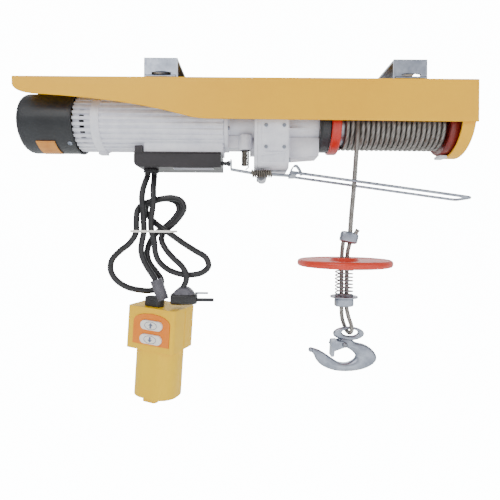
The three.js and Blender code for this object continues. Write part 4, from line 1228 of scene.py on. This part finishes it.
@dataclass
class Leads:
    """The control lead, the bundled mains lead, the tie round them and the plug."""

    diameter_mm: float = 8.0
    control: Points = field(default_factory=lambda: np.array([
        (-133, -8, -113.8), (-133, -8.5, -118.6), (-134.2, -13.5, -126), (-136.5, -18, -137.5),
        (-137.5, -20, -150), (-136, -20, -163), (-135, -20, -179), (-134.5, -20, -194.5),
        (-137, -19, -207), (-138.5, -18, -219.5), (-136, -16, -231.5), (-130.5, -14, -243),
        (-125, -12.5, -252), (-120.2, -12, -259.5),
    ]))
    mains: Points = field(default_factory=lambda: np.array([
        (-125, -2.5, -113.8), (-125, -3, -118.2), (-124, -9.5, -125.5), (-123, -17, -137.5),
        (-122, -20.5, -150), (-123, -20.5, -163), (-125, -20.5, -179), (-124, -21, -194),
        (-121, -18, -207), (-120.5, -15, -220), (-116.5, -13, -233), (-105.5, -12, -244),
        (-90.5, -12, -250.5), (-74, -12, -252.5), (-57.5, -13.5, -249), (-48.5, -15, -240.5),
        (-52, -17, -228.5), (-66, -18, -219.5), (-81, -19, -210), (-94.5, -20, -200.5),
        (-105.5, -20.5, -192.5), (-118, -13, -185), (-129, -8, -175.5), (-137, -2, -165),
        (-134.5, 2, -156), (-122.5, 2, -151), (-108, 1, -149), (-94.5, 0, -154), (-91, -2, -164.5),
        (-97.5, -3, -176), (-109, -2.5, -187), (-122, -1.5, -196.5), (-130.5, -3, -209),
        (-133.5, -5, -222.5), (-131, -3, -236.5), (-123, 1, -249), (-116, 5, -261.5),
        (-118.5, 7, -271.5), (-130, 6, -276.5), (-145.5, 2.5, -275.5), (-162.5, -2, -270.5),
        (-176, -7, -259.5), (-181.5, -11, -246), (-178.5, -14, -232.5), (-167, -17, -220.5),
        (-153.5, -20, -210), (-145, -20.5, -196.5), (-144.5, -20, -180.5), (-144, -17, -166.5),
        (-139, -10.5, -157.5), (-127.5, -8.5, -153), (-114, -8.5, -149.5), (-99, -10, -148),
        (-86.5, -12, -152.5), (-82, -14, -161.5), (-87.5, -13, -173), (-98, -11.5, -184.5),
        (-110, -11, -195), (-112, -15, -204.5), (-105.5, -21, -216.5), (-94.5, -23, -229),
        (-83.5, -22, -239.5), (-77.5, -21, -250.5), (-78, -19, -260), (-82, -17, -268.5),
    ]))

    def lead(
        self, name: str, points: Points, count: int, finish: Finish
    ) -> tuple[bpy.types.Object, float]:
        """Lays one lead as a round curve.

        Args:
            name: the piece's name.
            points: its route in millimetres.
            count: places along the curve.
            finish: its finish.

        Returns:
            The curve object and its length in metres.
        """
        line = smooth_line(points, count) * MM
        curve = bpy.data.curves.new(name, "CURVE")
        curve.dimensions = "3D"
        curve.bevel_depth = self.diameter_mm / 2 * MM
        curve.bevel_resolution = 6
        curve.use_fill_caps = True
        spline = curve.splines.new("POLY")
        spline.points.add(count - 1)
        spline.points.foreach_set("co", np.column_stack([line, np.ones(count)]).ravel())
        spline.use_smooth = True
        piece = bpy.data.objects.new(name, curve)
        bpy.context.scene.collection.objects.link(piece)
        curve.materials.append(finish.material())
        return piece, float(np.linalg.norm(np.diff(line, axis=0), axis=1).sum())

    def plug(self) -> list[bpy.types.Object]:
        """Moulds the plug: a black body, a grey neck and two pins of different thickness.

        The body and the neck are stations along their length, each a rounded square whose half sizes follow
        the given table.

        Returns:
            The pieces that lie on the lead's end.
        """
        body = self.block("plug_body", np.array([
            (-98.4, 9, 6.2), (-97, 11.4, 7.4), (-91, 12, 7.9), (-78, 12, 7.9), (-70, 11, 7.5),
            (-64.4, 9.6, 6.8),
        ]), (-13, -284.2), "X")
        neck = self.block("plug_neck", np.array([
            (-278, 10.4, 14.6), (-274.5, 9.8, 13), (-270.5, 9, 8.8), (-268.6, 7, 6.4),
        ]), (-13.5, -81.5), "Z")
        stub = [(-67, 0), (-67, 2.5), (-43, 2.5), (-41.4, 2), (-41, 0)]
        thick = turned("plug_pin_thick", stub, (0, -12, -286), Axis.X.value, 24, 40)
        stub = [(-67, 0), (-67, 1.5), (-50.4, 1.5), (-49.2, 1.0), (-49, 0)]
        thin = turned("plug_pin_thin", stub, (0, -8, -277.5), Axis.X.value, 20, 40)
        dressed(body, RUBBER, "pendant", ["plug"])
        dressed(neck, BOOT, "pendant")
        # Painted shade: the thick metal pin takes the black finish because it lies in shadow; the lit thin pin
        # is zinc.
        dressed(thick, BLACK, "pendant")
        dressed(thin, ZINC, "pendant")
        return [body, neck, thick, thin]

    def block(
        self, name: str, stations: Points, middle: tuple[float, float], along: str
    ) -> bpy.types.Object:
        """Lofts a rounded block: each station is (place, half depth in Y, half size across)."""
        fine = smooth_line(stations, 30)
        a = np.arange(36) / 36 * 2 * np.pi
        c = np.sign(np.cos(a)) * np.abs(np.cos(a)) ** 0.55
        s = np.sign(np.sin(a)) * np.abs(np.sin(a)) ** 0.55
        place = np.broadcast_to(fine[:, :1], (len(fine), len(a)))
        y = middle[0] + fine[:, 1:2] * c
        across = middle[1] + fine[:, 2:3] * s
        order = (place, y, across) if along == "X" else (across, y, place)
        verts = np.stack(order, axis=2).reshape(-1, 3) * MM
        faces = grid_faces(len(fine), len(a), False, True)
        verts, faces = capped(verts, faces, len(fine), len(a))
        mesh = bpy.data.meshes.new(name)
        mesh.from_pydata(verts.tolist(), [], clean_faces(faces))
        mesh.polygons.foreach_set("use_smooth", np.ones(len(mesh.polygons), bool))
        mesh.set_sharp_from_angle(angle=math.radians(50))
        piece = bpy.data.objects.new(name, mesh)
        bpy.context.scene.collection.objects.link(piece)
        outward(piece)
        return piece

    def build(self) -> None:
        control, control_length = self.lead("control_lead", self.control, 150, RUBBER)
        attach(control, "pendant")
        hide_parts("control_cord")
        mains, mains_length = self.lead("mains_lead", self.mains, 700, RUBBER)
        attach(mains, "pendant")
        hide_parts("mains_cord")
        tie = refined("cord_tie", WHITE, 0.4)
        plug = self.plug()
        LOG.info("control lead %.1f mm, mains lead %.1f mm", control_length / MM, mains_length / MM)


def main() -> None:
    """Builds the studio, the leads and then each sub-assembly."""
    logging.basicConfig(level=logging.INFO, format="%(name)s: %(message)s")
    Studio().build()
    for kind in (Leads, Frame, Motor, Gearbox, Drum, ControlBox, LimitGear, HookLine, Pendant):
        kind().build()
        LOG.info("built %s", kind.__name__)
    bpy.context.view_layer.update()


if __name__ == "__main__":
    main()
